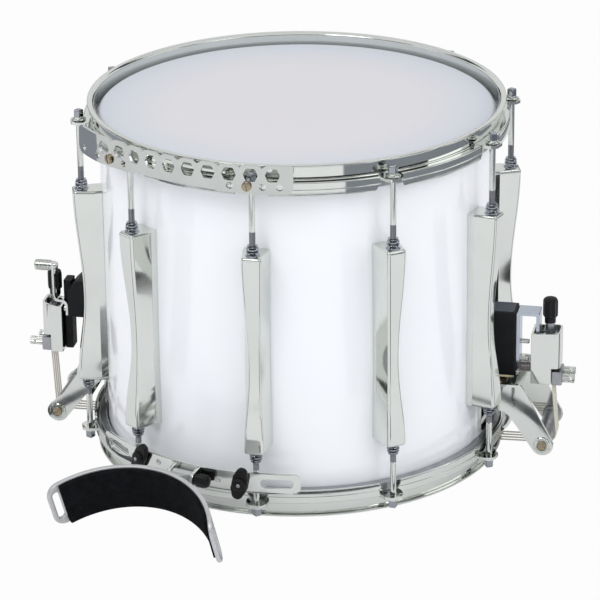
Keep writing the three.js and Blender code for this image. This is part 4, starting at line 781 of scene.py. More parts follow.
# painted reflection: a bluish tint on the staple's chrome, standing in for the bluish reflection its top
# shows
BLUISH_REFLECTION_CHROME = Plate("staple_chrome_painted_bluish", srgb(186, 194, 205), 0.12, 1.0)
CAP = Moulded("block_cap", srgb(66, 71, 80), 0.4)
BLACK_PLASTIC = Moulded("black_plastic", srgb(18, 18, 20), 0.36)
BLOCK_PLASTIC = Moulded("block_plastic", srgb(15, 16, 20), 0.5)
GASKET = Moulded("cream_gasket", srgb(222, 208, 176), 0.6)
IVORY = Braid("ivory_cord", srgb(236, 232, 218), 0.7)
GUT = Turned("snare_cable", srgb(170, 172, 178), 0.35, 0.8)
FELT = Felt("black_felt", srgb(12, 13, 16), 1.0)


@dataclass
class Piece:
    """A finished piece: its workpiece, where it is, what it rides on and what it stands for."""

    name: str
    blank: Blank
    finish: Finish
    body: Body = Body.DRUM
    frame: Matrix = field(default_factory=lambda: station(0))
    nodes: tuple[str, ...] = ()
    slot: str = "strainer_chrome"
    sharp: float = 30.0
    blend: tuple[Vector, Vector] | None = None

    def build(self) -> bpy.types.Object:
        """Makes the object, at the origin with its place in its mesh.

        Returns:
            The object, riding on its body; one with a blend is left on no body.
        """
        self.blank.moved(Matrix.Scale(MM, 4) @ self.frame)
        mesh = bpy.data.meshes.new(self.name)
        self.blank.bm.to_mesh(mesh)
        self.blank.bm.free()
        mesh.shade_smooth()
        mesh.set_sharp_from_angle(angle=math.radians(self.sharp))
        made = bpy.data.objects.new(self.name, mesh)
        bpy.context.scene.collection.objects.link(made)
        mesh.materials.append(self.finish.material())
        made.modifiers.new("normals", "WEIGHTED_NORMAL").keep_sharp = True
        if self.blend:
            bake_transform(made)
        else:
            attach(made, self.body.value)
        if self.nodes:
            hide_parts(*self.nodes)
        LOG.info("%s: %d faces on %s", self.name, len(mesh.polygons), self.body.value)
        return made


# Shapes that several sub-assemblies use


def bend(start: Point, corner: Point, end: Point, steps: int = 6) -> list[Point]:
    """Points of a smooth turn from one point to another round a corner.

    Args:
        start: First point.
        corner: Where the two straight lines would meet.
        end: Last point.
        steps: Number of chords.

    Returns:
        The points, both ends included.
    """
    a, b, c = Vector(start), Vector(corner), Vector(end)
    return [tuple(a.lerp(b, t).lerp(b.lerp(c, t), t)) for t in (i / steps for i in range(steps + 1))]


def bent(blank: Blank, radius: float, step: float = 4.0,
         lift: Callable[[float], float] = lambda degrees: 0.0) -> Blank:
    """Bends a flat plate round the Z axis.

    Args:
        blank: The plate, X along it as arc length and Y outwards from the radius.
        radius: The radius that the plate is bent to.
        step: Longest straight stretch left along it.
        lift: How far a place stands out at an azimuth in degrees.

    Returns:
        The bent plate, its azimuths counted from +X.
    """
    bm = blank.bm
    spots = [v.co.x for v in bm.verts]
    first, last = min(spots), max(spots)
    count = math.ceil((last - first) / step)
    for i in range(1, count):
        bmesh.ops.bisect_plane(bm, geom=[*bm.verts, *bm.edges, *bm.faces], dist=0.001,
                               plane_co=(first + (last - first) * i / count, 0, 0), plane_no=(1, 0, 0))
    for vert in bm.verts:
        angle = vert.co.x / radius
        reach = radius + vert.co.y + lift(math.degrees(angle))
        vert.co = (reach * math.cos(angle), reach * math.sin(angle), vert.co.z)
    return blank.faced()


def rounded(corners: Sequence[Corner], steps: int = 5, least: float = 0.0) -> list[Point]:
    """Rounds each corner of an outline by its own radius.

    Args:
        corners: Two coordinates and a radius each.
        steps: Chords of each round.
        least: A round that would start nearer to its corner than this is left out.

    Returns:
        The outline.
    """
    out: list[Point] = []
    for i, (a, b, radius) in enumerate(corners):
        here = Vector((a, b))
        before, after = Vector(corners[i - 1][:2]) - here, Vector(corners[(i + 1) % len(corners)][:2]) - here
        if radius <= 0:
            out.append((a, b))
            continue
        half = before.angle(after) / 2
        reach = min(radius / math.tan(half), 0.49 * before.length, 0.49 * after.length)
        if reach < least:
            out.append((a, b))
            continue
        start, end = here + before.normalized() * reach, here + after.normalized() * reach
        middle = here + (before.normalized() + after.normalized()).normalized() * (reach / math.cos(half))
        sweep = (start - middle).angle_signed(end - middle)
        for k in range(steps + 1):
            turn = Matrix.Rotation(-sweep * k / steps, 2)
            out.append(tuple(middle + turn @ (start - middle)))
    return out


def panel(a0: float, b0: float, a1: float, b1: float, radii: float | Sequence[float],
          steps: int = 5) -> list[Point]:
    """Outline of a rectangle with round corners.

    Args:
        a0: First coordinate of its first corner.
        b0: Second coordinate of its first corner.
        a1: First coordinate of the corner across.
        b1: Second coordinate of the corner across.
        radii: One radius, or one for each corner from the first one on.
        steps: Chords of each round.

    Returns:
        The outline.
    """
    each = radii if isinstance(radii, Sequence) else (radii,) * 4
    return rounded([(a, b, radius) for (a, b), radius in zip(rectangle(a0, b0, a1, b1), each)], steps)


def ribbed(rib: Sequence[Point], pitch: float, count: int, start: float = 0.0) -> list[Point]:
    """Repeats a rib along Z.

    Args:
        rib: Points of radius and height.
        pitch: Distance from rib to rib.
        count: Number of ribs.
        start: Height of the first one.

    Returns:
        The profile's points.
    """
    return [(radius, start + z + i * pitch) for i in range(count) for radius, z in rib]


def pierced(outline: Sequence[Point], holes: Sequence[Sequence[Point]], axis: Axis, start: float, end: float,
            edge: float = 0.4) -> Blank:
    """Makes a plate with holes and eased rims.

    Args:
        outline: The plate's outline.
        holes: The outlines of its holes.
        axis: The way its thickness goes.
        start: One face's place along the axis.
        end: The other face's place.
        edge: Width of the rims' bevel.

    Returns:
        The plate.
    """
    blank = Blank()
    bm = blank.bm
    for loop in (outline, *holes):
        verts = [bm.verts.new(axis.place(a, b, start)) for a, b in loop]
        for pair in zip(verts, verts[1:] + verts[:1]):
            bm.edges.new(pair)
    bmesh.ops.triangle_fill(bm, use_beauty=True, use_dissolve=False, edges=bm.edges[:],
                            normal=axis.place(0, 0, 1))
    blank.carry(bm.faces[:], axis.place(0, 0, end - start))
    blank.faced()
    if edge:
        blank.beveled(edge, 2, 50)
    return blank


def fluted(radius: float, height: float, count: int, sections: Sequence[Corner], points: int = 8) -> Blank:
    """Makes a fluted knob along Z from zero.

    Args:
        radius: Its largest radius.
        height: Its height.
        count: Number of flutes.
        sections: Share up the knob, share of the radius, and how far the flutes come in.
        points: Points to a flute.

    Returns:
        The knob.
    """
    rings = []
    for up, wide, flute in sections:
        ring = []
        for i in range(count * points):
            angle = 2 * math.pi * i / (count * points)
            dip = (1 - flute) * (0.5 - 0.5 * math.cos(count * angle)) ** 0.6
            reach = radius * wide * (1 - dip)
            ring.append((reach * math.cos(angle), reach * math.sin(angle), up * height))
        rings.append(ring)
    return Blank.lofted(rings)


def threaded(radius: float, start: float, end: float, pitch: float = 0.9, depth: float = 0.32) -> Blank:
    """Turns a threaded stretch along Z.

    Args:
        radius: Outer radius.
        start: Lower end.
        end: Upper end.
        pitch: Distance from groove to groove.
        depth: Depth of the grooves.

    Returns:
        The stretch.
    """
    turns = round((end - start) / pitch)
    profile: list[Point] = [(0, start)]
    for i in range(turns):
        z = start + (end - start) * i / turns
        profile += [(radius - depth, z), (radius, z + 0.4 * pitch), (radius, z + 0.6 * pitch)]
    return Blank.spun([*profile, (radius - depth, end), (0, end)], 24)


def slotted(radius: float, height: float, width: float = 1.1, dome: float = 0.8, depth: float = 1.1) -> Blank:
    """Makes a slotted screw head along Z from zero.

    Args:
        radius: The head's radius.
        height: Its height.
        width: Width of the slot.
        dome: How much its face is domed.
        depth: Depth of the slot.

    Returns:
        The head.
    """
    face = bend((radius, height - dome), (radius, height), (0, height), 8)
    opening = rectangle(-radius - 1, -width / 2, radius + 1, width / 2)
    cutter = Blank.extruded(opening, Axis.Z, height - depth, height + 1)
    return Blank.spun([(0, 0), (radius, 0), *face], 40).carved(cutter)


def tube(path: Sequence[Spot], radius: float, lobes: int = 0, twist: float = 0.0, sides: int = 10) -> Blank:
    """Carries a round or lobed section along a path.

    Args:
        path: Points of its middle.
        radius: The section's radius.
        lobes: Strands that show in the section, or zero.
        twist: Turn of the section per millimetre, in degrees.
        sides: Points of the section.

    Returns:
        The tube.
    """
    spots = [Vector(p) for p in path]
    side = Vector((0, 1, 0.01)).normalized()
    rings, gone = [], 0.0
    for i, spot in enumerate(spots):
        way = (spots[min(i + 1, len(spots) - 1)] - spots[max(i - 1, 0)]).normalized()
        side = (side - way * side.dot(way)).normalized()
        other = way.cross(side)
        gone += (spot - spots[max(i - 1, 0)]).length
        ring = []
        for k in range(sides):
            angle = 2 * math.pi * k / sides
            reach = radius * (1 - (0.12 + 0.12 * math.cos(lobes * angle) if lobes else 0))
            turn = angle + math.radians(twist * gone)
            ring.append(spot + side * reach * math.cos(turn) + other * reach * math.sin(turn))
        rings.append(ring)
    return Blank.lofted(rings)


def along(path: Sequence[Spot], step: float) -> list[Vector]:
    """Sets points along a path.

    Args:
        path: The path's corners.
        step: How far apart the points are at most.

    Returns:
        The points.
    """
    out = [Vector(path[0])]
    for a, b in zip(path, path[1:]):
        a, b = Vector(a), Vector(b)
        count = max(1, math.ceil((b - a).length / step))
        out += [a.lerp(b, i / count) for i in range(1, count + 1)]
    return out


# Drum


@dataclass
class Shell:
    """Shell with its bearing edges, and the ply that shows inside."""

    radius: float = 176.2
    wall: float = 7.0
    top: float = -0.8
    bottom: float = -305.6
    edge_depth: float = 5.7
    edge: tuple[Point, ...] = ((0, 1), (0.63, 0), (0.77, 0.02), (0.91, 0.25), (1, 0.6))
    lining: float = 0.3

    def build(self) -> None:
        """Spins the lacquered shell and its lining."""
        inner = self.radius - self.wall
        upper = [(inner + a * self.wall, self.top - d * self.edge_depth) for a, d in self.edge]
        lower = [(r, self.top + self.bottom - z) for r, z in reversed(upper)]
        Piece("shell_ply", Blank.spun(upper + lower), WHITE_LACQUER, nodes=("shell",),
              slot="shell_lacquer").build()
        low, high = self.bottom + self.edge_depth + 1, self.top - self.edge_depth - 1
        lining = Blank.spun(rectangle(inner - self.lining, low, inner + self.lining, high))
        Piece("shell_lining", lining, MAPLE, slot="shell_lacquer").build()


@dataclass
class Head:
    """Head: a film turned down over the shell's edge and the flesh hoop that holds it."""

    name: str
    film: Finish
    lower: bool
    node: str
    slot: str
    flat: float = 173.4
    collar: float = 177.9
    thickness: float = 0.5
    depth: float = 7.0
    hoop_outer: float = 185.0
    hoop_height: float = 8.5

    def facing(self, points: Iterable[Point]) -> list[Point]:
        """Mirrors a profile to the lower side where the head is the lower one."""
        return [(r, LOWER_FACE - z) if self.lower else (r, z) for r, z in points]

    def build(self) -> None:
        """Spins the film and its hoop."""
        turn = bend((self.flat, 0), (self.collar - 0.6, -0.05), (self.collar, -self.depth - 2), 12)
        inside = [(r - self.thickness, z - self.thickness * 0.9) for r, z in reversed(turn)]
        under = [(150, -self.thickness), (0, -self.thickness)]
        film = Blank.spun(self.facing([(0, 0), (90, 0), (150, 0), *turn, *inside, *under]))
        Piece(f"{self.name}_film", film, self.film, nodes=(self.node,), slot=self.slot, sharp=50).build()
        low = -self.depth - self.hoop_height
        ring = eased(rectangle(self.collar - 0.4, low, self.hoop_outer, -self.depth), 1.6, 4)
        Piece(f"{self.name}_flesh_hoop", Blank.spun(self.facing(ring)), STEEL, slot="hoop_metal").build()


@dataclass
class Hoop:
    """Pressed hoop: rim, wall, flange and skirt, an ear at each rod and a notch under it."""

    name: str
    node: str
    lower: bool
    profile: tuple[Point, ...] = (
        (182, -4.2), (183, -5.3), (184, -4.4), (188.6, -4.4), (189.3, -5.1), (189.3, -10.5), (189.0, -10.9),
        (189.3, -11.3), (189.3, -17), (187, -17), (187, -6.7), (179.7, -6.7), (179.7, 7.7), (181.5, 9.5),
        (186, 9.5), (186, 7.6), (182, 7.6))
    ear_shares: tuple[Point, ...] = ((0, 1), (0.72, 0.82), (1, 0.45))
    ear_root: float = 183.0
    ear_end: float = 201.0
    ear_half: float = 11.0
    notch_top: float = 22.0
    notch_edge: float = 30.0
    arch: float = 10.2
    skirt: Point = (186.5, 195.0)
    ear_heights: Point = (-6.9, -4.2)
    gate_heights: Point = (6.4, -3.6)
    gate_reach: Point = (172.0, 192.0)
    gate_width: float = 66.0
    gates: tuple[float, ...] = (THROWOFF_AZIMUTH, BUTT_AZIMUTH)

    def height(self, z: float) -> float:
        """Turns a height over the head into z."""
        return LOWER_FACE - z if self.lower else z

    def notch(self) -> list[Point]:
        """Returns the outline that is cut from the skirt at each rod."""
        if self.lower:
            edge = self.height(-17)
            return [*arc(0, edge, self.arch, 180, 360, 16), (self.arch, edge + 4), (-self.arch, edge + 4)]
        a, b = self.notch_top / 2, self.notch_edge / 2
        return [*bend((-b, -21), (-a, -7.3), (0, -7.3), 10)[:-1], *bend((0, -7.3), (a, -7.3), (b, -21), 10)]

    def build(self, lugs: Sequence[float]) -> None:
        """Spins the hoop, cuts its notches and makes its ears.

        Args:
            lugs: Azimuths of the rods.
        """
        ring = Blank.spun(eased([(r, self.height(z)) for r, z in self.profile], 0.8, 3))
        cutters = [Blank.extruded(self.notch(), Axis.X, *self.skirt).turned(lug) for lug in lugs]
        ring.carved(*cutters)
        if self.lower:
            low, high = sorted(map(self.height, self.gate_heights))
            opening = eased(rectangle(-self.gate_width / 2, low, self.gate_width / 2, high), 1.5)
            cutters = [Blank.extruded(opening, Axis.X, *self.gate_reach).turned(gate) for gate in self.gates]
            ring.carved(*cutters)
        Piece(self.name, ring, CHROME, nodes=(self.node,), slot="hoop_metal", sharp=35).build()
        reach = self.ear_end - self.ear_root
        side = [(self.ear_root + a * reach, b * self.ear_half) for a, b in self.ear_shares]
        outline = rounded([(*p, 3) for p in side] + [(x, -y, 3) for x, y in reversed(side)])
        low, high = sorted(map(self.height, self.ear_heights))
        for i, lug in enumerate(lugs):
            ear = pierced(outline, [circle(ROD_CIRCLE, 0, ROD_HOLE, 20)], Axis.Z, low, high, 0.5)
            Piece(f"{self.name}_ear_{i + 1:02}", ear, CHROME, frame=station(lug), slot="hoop_metal").build()


@dataclass
class Lug:
    """Waisted lug with a swivel nut at each end."""

    top: float = -68.7
    length: float = 182.5
    depth: float = 26.0
    waist_depth: float = 19.2
    base: float = 23.0
    waist_base: float = 21.5
    face: float = 17.0
    waist_face: float = 9.0
    flank: float = 6.0
    waist_at: float = 0.57
    stations: int = 110
    end_round: float = 2.2
    swivel: tuple[Point, ...] = (
        (0, -1), (6.4, -1), (6.4, 0.3), (6.0, 0.7), (4.6, 1.5), (4.2, 2.4), (4.5, 2.9), (5.5, 3.2),
        (5.7, 3.8), (5.5, 4.5), (4.3, 4.9), (4.3, 5.4), (5.2, 5.8), (5.4, 6.5), (5.1, 7.2), (4.0, 7.6),
        (4.0, 8.0), (4.6, 8.3), (4.4, 9.0), (0, 9.0))

    def blend(self, share: float, end: float, waist: float) -> float:
        """Returns a size at a share of the length."""
        part = share / self.waist_at if share < self.waist_at else (1 - share) / (1 - self.waist_at)
        return end + (waist - end) * math.sin(math.pi / 2 * part) ** 2

    def ring(self, share: float, inset: float) -> list[Spot]:
        """Returns the section at a share of the length, drawn in by an inset."""
        base = self.blend(share, self.base, self.waist_base) / 2 - inset * 0.6
        face = self.blend(share, self.face, self.waist_face) / 2 - inset * 0.8
        front = SEAT + self.blend(share, self.depth, self.waist_depth) - inset * 1.3
        flank = SEAT + self.flank
        corners = [(SEAT, -base, 0), (flank, -base, 1.5), (front, -face, 2.8),
                   (front, face, 2.8), (flank, base, 1.5), (SEAT, base, 0)]
        z = self.top - share * self.length
        return [(x, y, z) for x, y in rounded(corners, 5)]

    def build(self, number: int, azimuth: float) -> None:
        """Lofts the casting and turns its swivels.

        Args:
            number: The lug's number.
            azimuth: Where it stands.
        """
        rings = []
        for i in range(5):
            angle = math.pi / 2 * i / 4
            share = self.end_round * (1 - math.cos(angle)) / self.length
            rings.append(self.ring(share, self.end_round * (1 - math.sin(angle))))
        first = self.end_round / self.length
        rings += [self.ring(first + (1 - 2 * first) * i / self.stations, 0) for i in range(1, self.stations)]
        for i in range(5):
            angle = math.pi / 2 * (4 - i) / 4
            share = 1 - self.end_round * (1 - math.cos(angle)) / self.length
            rings.append(self.ring(share, self.end_round * (1 - math.sin(angle))))
        name = f"lug_{number:02}"
        frame = station(azimuth)
        Piece(f"{name}_casting", Blank.lofted(rings), CHROME, frame=frame, nodes=(name,), slot="lug_chrome",
              sharp=40).build()
        for end, start, way in (("upper", self.top, 1), ("lower", self.top - self.length, -1)):
            steps = [(r, start + way * z) for r, z in self.swivel]
            swivel = Blank.spun(steps, 36).laid(Axis.Z, ROD_CIRCLE, 0)
            # the swivels take the darker chrome copy, a painted shade
            Piece(f"{name}_{end}_swivel", swivel, SHADED_CHROME, frame=frame, slot="lug_chrome").build()


@dataclass
class TensionRod:
    """Tension rod: square key head, washer, smooth shank and the thread above the swivel."""

    seat: float
    way: int
    swivel: float
    thread: float = 12.0
    radius: float = 2.75
    key: float = 6.4
    washer: tuple[Point, ...] = (
        (3.9, -2.4), (3.9, 0), (5.9, 0), (6.5, 0.5), (6.5, 0.9), (4.9, 1.6), (4.4, 1.7), (4.4, 2.5),
        (3.9, 2.9), (0, 2.9))

    def build(self, name: str, azimuth: float) -> None:
        """Turns the rod and its thread.

        Args:
            name: The rod's node.
            azimuth: Where it stands.
        """
        end = self.swivel + self.way * self.thread
        steps = [(0, end), (self.radius - 0.3, end), (self.radius, end + self.way * 0.5),
                 (self.radius, self.seat - self.way * 2.6),
                 *[(r, self.seat + self.way * z) for r, z in self.washer]]
        rod = Blank.spun(steps, 40)
        rings = []
        for up, wide in ((2.6, 1), (8.2, 1), (8.9, 0.97), (9.4, 0.86), (9.6, 0.66)):
            half = self.key / math.sqrt(2) * wide
            corners = [(-half, 0, 0.9), (0, -half, 0.9), (half, 0, 0.9), (0, half, 0.9)]
            rings.append([(x, y, self.seat + self.way * up) for x, y in rounded(corners, 4)])
        frame = station(azimuth)
        Piece(f"{name}_shank", rod.laid(Axis.Z, ROD_CIRCLE, 0), CHROME, frame=frame, nodes=(name,),
              slot="rod_chrome").build()
        key = Blank.lofted(rings).laid(Axis.Z, ROD_CIRCLE, 0)
        # the key takes the darker chrome copy, a painted shade
        Piece(f"{name}_key", key, SHADED_CHROME, frame=frame, slot="rod_chrome").build()
        low, high = sorted((self.swivel - self.way * 2, end))
        cut = threaded(self.radius - 0.05, low, high).laid(Axis.Z, ROD_CIRCLE, 0)
        Piece(f"{name}_thread", cut, THREAD, frame=frame, slot="rod_chrome").build()


@dataclass
class SlingRail:
    """Curved rail on the batter hoop, with hexagonal holes for a sling's hooks."""

    radius: float = 201.6
    metal: float = 2.5
    start: float = -65.0
    end: float = -1.0
    low: float = -9.6
    high: float = 15.2
    waist: tuple[float, float, float] = (-43.0, -20.0, 2.0)
    corner: float = 6.0
    standoff: float = 3.6
    standoff_from: float = -46.0
    standoff_to: float = -57.0
    holes: int = 10
    first_hole: float = -53.1
    pitch: float = 5.25
    hole_width: float = 12.7
    hole_height: float = 11.6
    hole_z: float = 5.6
    climb: float = 1.4
    hexagon: tuple[Point, ...] = ((1, 0), (0.57, 1), (-0.57, 1), (-1, 0), (-0.57, -1), (0.57, -1))
    scallop: Point = (7.0, 2.4)
    pins: tuple[float, ...] = (-62.0, -55.6, -46.4, -16.2, -8.2, -4.2)
    pin_z: float = -3.4
    screws: tuple[float, ...] = (-51.2, -12.0)
    screw_z: float = -3.0
    feet: tuple[float, ...] = (-55.5, -18.0)

    def at(self, degrees: float) -> float:
        """Returns the arc length at an azimuth."""
        return arc_length(degrees, self.radius)

    def lift(self, degrees: float) -> float:
        """Returns how far the rail stands out at an azimuth."""
        part = min(max((degrees - self.standoff_from) / (self.standoff_to - self.standoff_from), 0), 1)
        return self.standoff * part * part * (3 - 2 * part)

    def outline(self) -> list[Point]:
        """Returns the flat rail's outline, its scallops included."""
        left, right = self.at(self.start), self.at(self.end)
        w0, w1, rise = self.at(self.waist[0]), self.at(self.waist[1]), self.waist[2]
        corners = [(left, self.low, self.corner), (w0 - rise, self.low, 2), (w0, self.low + rise, 2),
                   (w1, self.low + rise, 2), (w1 + rise, self.low, 2), (right, self.low, self.corner),
                   (right, self.high, 1.2)]
        half, deep = self.scallop[0] / 2, self.high - self.scallop[1]
        for i in reversed(range(self.holes - 1)):
            s = self.at(self.first_hole + self.pitch * (i + 0.5))
            corners += [(s + half, self.high, 0.6), (s, deep, 0.5), (s - half, self.high, 0.6)]
        return rounded([*corners, (left, self.high, self.corner)], 4)

    def build(self) -> None:
        """Makes the rail, its feet and its screws."""
        holes = []
        wide, tall = self.hole_width / 2, self.hole_height / 2
        for i in range(self.holes):
            s = self.at(self.first_hole + self.pitch * i)
            z = self.hole_z + self.climb * i / (self.holes - 1)
            holes.append(rounded([(s + a * wide, z + b * tall, 2.0) for a, b in self.hexagon], 4))
        holes += [circle(self.at(pin), self.pin_z, 3, 20) for pin in self.pins]
        rail = bent(pierced(self.outline(), holes, Axis.Y, 0, self.metal, 0.45), self.radius, 3.5, self.lift)
        Piece("sling_rail_plate", rail, RAIL_CHROME, nodes=("sling_rail",), slot="rail_chrome",
              sharp=35).build()
        for i, foot in enumerate(self.feet):
            reach = self.radius + self.lift(foot) + 0.4
            sole = eased(rectangle(187, -7, reach, 7), 0.8)
            blank = Blank.extruded(sole, Axis.Z, -4.1, -1.8).beveled(0.5, 2, 50)
            Piece(f"sling_rail_foot_{i + 1}", blank, RAIL_CHROME, frame=station(foot),
                  slot="rail_chrome").build()
        for name, screw in zip(("left", "right"), self.screws):
            outer = self.radius + self.lift(screw) + self.metal + 0.1
            head = slotted(4.2, 2.4).turned(12).laid(Axis.X, 0, self.screw_z).shifted(outer, 0, 0)
            Piece(f"sling_screw_{name}_head", head, BRONZE, frame=station(screw),
                  nodes=(f"sling_screw_{name}",), slot="screw_brass").build()


@dataclass
class Snares:
    """Twisted snare cables under the lower head, and the plate at each end."""

    azimuth: float = THROWOFF_AZIMUTH
    count: int = 12
    radius: float = 0.7
    pitch: float = 4.6
    reach: float = SNARE_REACH
    plate_length: float = 12.5
    plate_half: float = 29.0
    metal: float = 2.4

    def build(self) -> None:
        """Makes the cables and plates."""
        z = SNARE_SEAT - self.metal / 2
        end = self.reach - self.plate_length / 2
        cables = Blank()
        for i in range(self.count):
            y = self.pitch * (i - (self.count - 1) / 2)
            cables.beside(tube(along([(-end, y, z), (end, y, z)], 3.5), self.radius, 3, 11.0, 9))
        frame = station(self.azimuth)
        Piece("snare_cables", cables, GUT, frame=frame, nodes=("snare_strands",), slot="snare_steel").build()
        for name, way in (("left", 1), ("right", -1)):
            low, high = sorted((way * self.reach, way * (self.reach - self.plate_length)))
            outline = panel(low, -self.plate_half, high, self.plate_half, 2)
            plate = pierced(outline, [], Axis.Z, SNARE_SEAT - self.metal, SNARE_SEAT, 0.35)
            Piece(f"snare_plate_{name}", plate, STEEL, frame=frame, slot="snare_steel").build()


# Strainers


@dataclass
class Strainer:
    """What the two strainers share: bracket, roller, housing, knob, clamp and cord."""

    name: str
    azimuth: float
    pivot: Point
    band_top: float
    arm_top: float
    outer: tuple[Point, ...]
    inner: tuple[Point, ...]
    arm_end: tuple[float, float]
    web_z: float
    web: tuple[float, float]
    back: float
    front: float
    top: float
    height: float
    slant: float
    knob_x: float
    knob_foot: float
    clamp_top: float
    screws: tuple[tuple[float, float, float, float], ...]
    cord_side: str
    tensioner: Body
    knob: Body
    clamp: Body
    roller: Body
    holder: Body
    arm_span: float = 67.6
    metal: float = 3.0
    arm_root: float = 174.6
    base_radius: float = 176.4
    base_half: float = 13.5
    foot: float = -287.0
    width: float = 25.0
    wall: float = 2.0
    corner: float = 6.0
    well: float = 7.0
    clamp_height: float = 13.0
    proud: float = 1.4
    pocket: float = 8.0
    roller_radius: float = 8.0
    cord_radius: float = 0.8
    cord_drop: float = 1.2
    run: float = 5.6
    washer: tuple[Point, ...] = (
        (0, 0.1), (7.6, 0.1), (7.6, 0.8), (7.2, 1.1), (6.5, 1.1), (6.3, 0.5), (5.9, 0.5), (5.7, 1.5),
        (5.1, 1.5), (4.9, 0.4), (0, 0.4))
    grip: tuple[Corner, ...] = (
        (0, 0.7, 1), (0.04, 0.74, 1), (0.18, 0.74, 1), (0.23, 0.8, 1), (0.27, 0.97, 0.93), (0.32, 1, 0.87),
        (0.6, 1, 0.87), (0.84, 1, 0.88), (0.9, 0.97, 0.9), (0.94, 0.9, 0.95), (0.97, 0.76, 1),
        (0.99, 0.52, 1), (1, 0.2, 1))
    knurl: tuple[Corner, ...] = (
        (0, 0.94, 1), (0.04, 1, 0.94), (0.5, 1, 0.94), (0.55, 0.9, 1), (0.62, 0.9, 1), (0.66, 1, 0.94),
        (0.92, 1, 0.94), (0.97, 0.95, 1), (1, 0.84, 1))

    def piece(self, name: str, blank: Blank, finish: Finish, body: Body = Body.DRUM,
              nodes: tuple[str, ...] = (), slot: str = "strainer_chrome",
              sharp: float = 32) -> bpy.types.Object:
        """Builds a piece of this strainer.

        Args:
            name: What follows the strainer's name.
            blank: The workpiece in the station frame.
            finish: Its finish.
            body: What it rides on.
            nodes: The nodes that it stands for.
            slot: Its material slot.
            sharp: Angle over which an edge is sharp.

        Returns:
            The object.
        """
        frame = station(self.azimuth)
        return Piece(f"{self.name}_{name}", blank, finish, body, frame, nodes, slot, sharp).build()

    def arm_point(self, share: Point) -> Corner:
        """Turns a share across and down the arm into a corner with its radius."""
        across = self.arm_root + share[0] * (self.pivot[0] - self.arm_root)
        return (across, self.arm_top + share[1] * (self.pivot[1] - self.arm_top), 4.0)

    def build_bracket(self) -> None:
        """Makes the curved base, the arms and the bulged web."""
        half = arc_length(self.base_half, self.base_radius)
        outline = panel(-half, self.foot, half, self.band_top, (5, 5, 4, 4))
        base = pierced(outline, [], Axis.Y, 0, self.metal, 0.5)
        self.piece("base", bent(base, self.base_radius, 3), CHROME, nodes=(f"{self.name}_bracket",))
        eye = [(a, b, 0.0) for a, b in arc(*self.pivot, 10, *self.arm_end, 18)]
        corners = [(self.arm_root, self.arm_top, 0.0), *map(self.arm_point, self.outer), *eye,
                   *map(self.arm_point, self.inner)]
        outline, hole = rounded(corners, least=0.3), circle(*self.pivot, 3.4, 24)
        span = self.arm_span / 2
        for side, low, high in (("front", span, span + self.metal), ("back", -span - self.metal, -span)):
            self.piece(f"arm_{side}", pierced(outline, [hole], Axis.Y, low, high, 0.55), CHROME)
        x = self.arm_root + 3.4
        sheet = [*arc(x, self.web_z, 24.5, *self.web, 28), *arc(x, self.web_z, 22, *reversed(self.web), 28)]
        self.piece("web", Blank.extruded(sheet, Axis.Y, -span - 0.4, span + 0.4), CHROME)

    def build_roller(self) -> None:
        """Makes the roller and its capped axle."""
        span = self.arm_span / 2
        wide = self.roller_radius
        flange = [(7.2, span - 5), (wide, span - 4), (wide, span - 1.4), (7, span - 0.4), (0, span - 0.4)]
        body = Blank.spun([*[(r, -z) for r, z in reversed(flange)], *flange], 64)
        self.piece("roller_drum", body.laid(Axis.Y, *self.pivot), STEEL, self.roller,
                   (f"{self.name}_roller",), "roller_steel")
        end = span + self.metal
        for side, way in (("front", 1), ("back", -1)):
            washer = Blank.spun([*self.washer], 48)
            head = slotted(4.4, 2.6, 1.7, 1.5).turned(62).shifted(0, 0, 0.3)
            for label, blank, finish in (("washer", washer, CHROME), ("screw", head, BRONZE)):
                if way < 0:
                    blank.flipped()
                blank.shifted(0, 0, way * end).laid(Axis.Y, *self.pivot)
                self.piece(f"axle_{label}_{side}", blank, finish, self.roller, slot="roller_steel")

    def plan(self, inset: float) -> list[Point]:
        """Returns the housing's plan, drawn in by an inset."""
        half, corner = self.width / 2, self.corner - inset
        x, y = self.front - self.corner, half - self.corner
        back = self.back + inset
        return [(back, -half + inset), *arc(x, -y, corner, -90, 0, 12), *arc(x, y, corner, 0, 90, 12),
                (back, half - inset)]

    def build_housing(self) -> None:
        """Makes the housing with its open top, its well and the clamp's pocket."""
        bottom, half = self.top - self.height, self.width / 2 + 4
        floor = self.top - self.well
        shell = Blank.extruded(self.plan(0), Axis.Z, bottom, self.top)
        shell.carved(Blank.extruded(self.plan(self.wall), Axis.Z, floor, self.top + 4))
        shell.carved(Blank.extruded(self.plan(self.wall), Axis.Z, bottom - 4, floor - 5))
        back, front = self.back - 4, self.front + 4
        slope = [(back, self.top - self.slant), (front, self.top), (front, self.top + 6),
                 (back, self.top + 6)]
        shell.carved(Blank.extruded(slope, Axis.Y, -half, half))
        window = rectangle(self.front - self.pocket, bottom - 4, front, self.clamp_top + 3.4)
        shell.carved(Blank.extruded(window, Axis.Y, -half, half)).beveled(0.35, 2, 50)
        self.piece("housing_body", shell, CHROME, self.tensioner, (f"{self.name}_housing",), sharp=35)
        nuts = Blank.spun([(2.2, floor), (6.4, floor), (6.4, floor + 0.9), (5.4, floor + 1.0),
                           (5.4, floor + 2.0), (2.2, floor + 2.2)], 40)
        nuts.beside(Blank.extruded(circle(0, 0, 4.6, 6), Axis.Z, floor + 2.2, floor + 5.2).beveled(0.4))
        self.piece("housing_nuts", nuts.laid(Axis.Z, self.knob_x, 0), STEEL, self.knob)

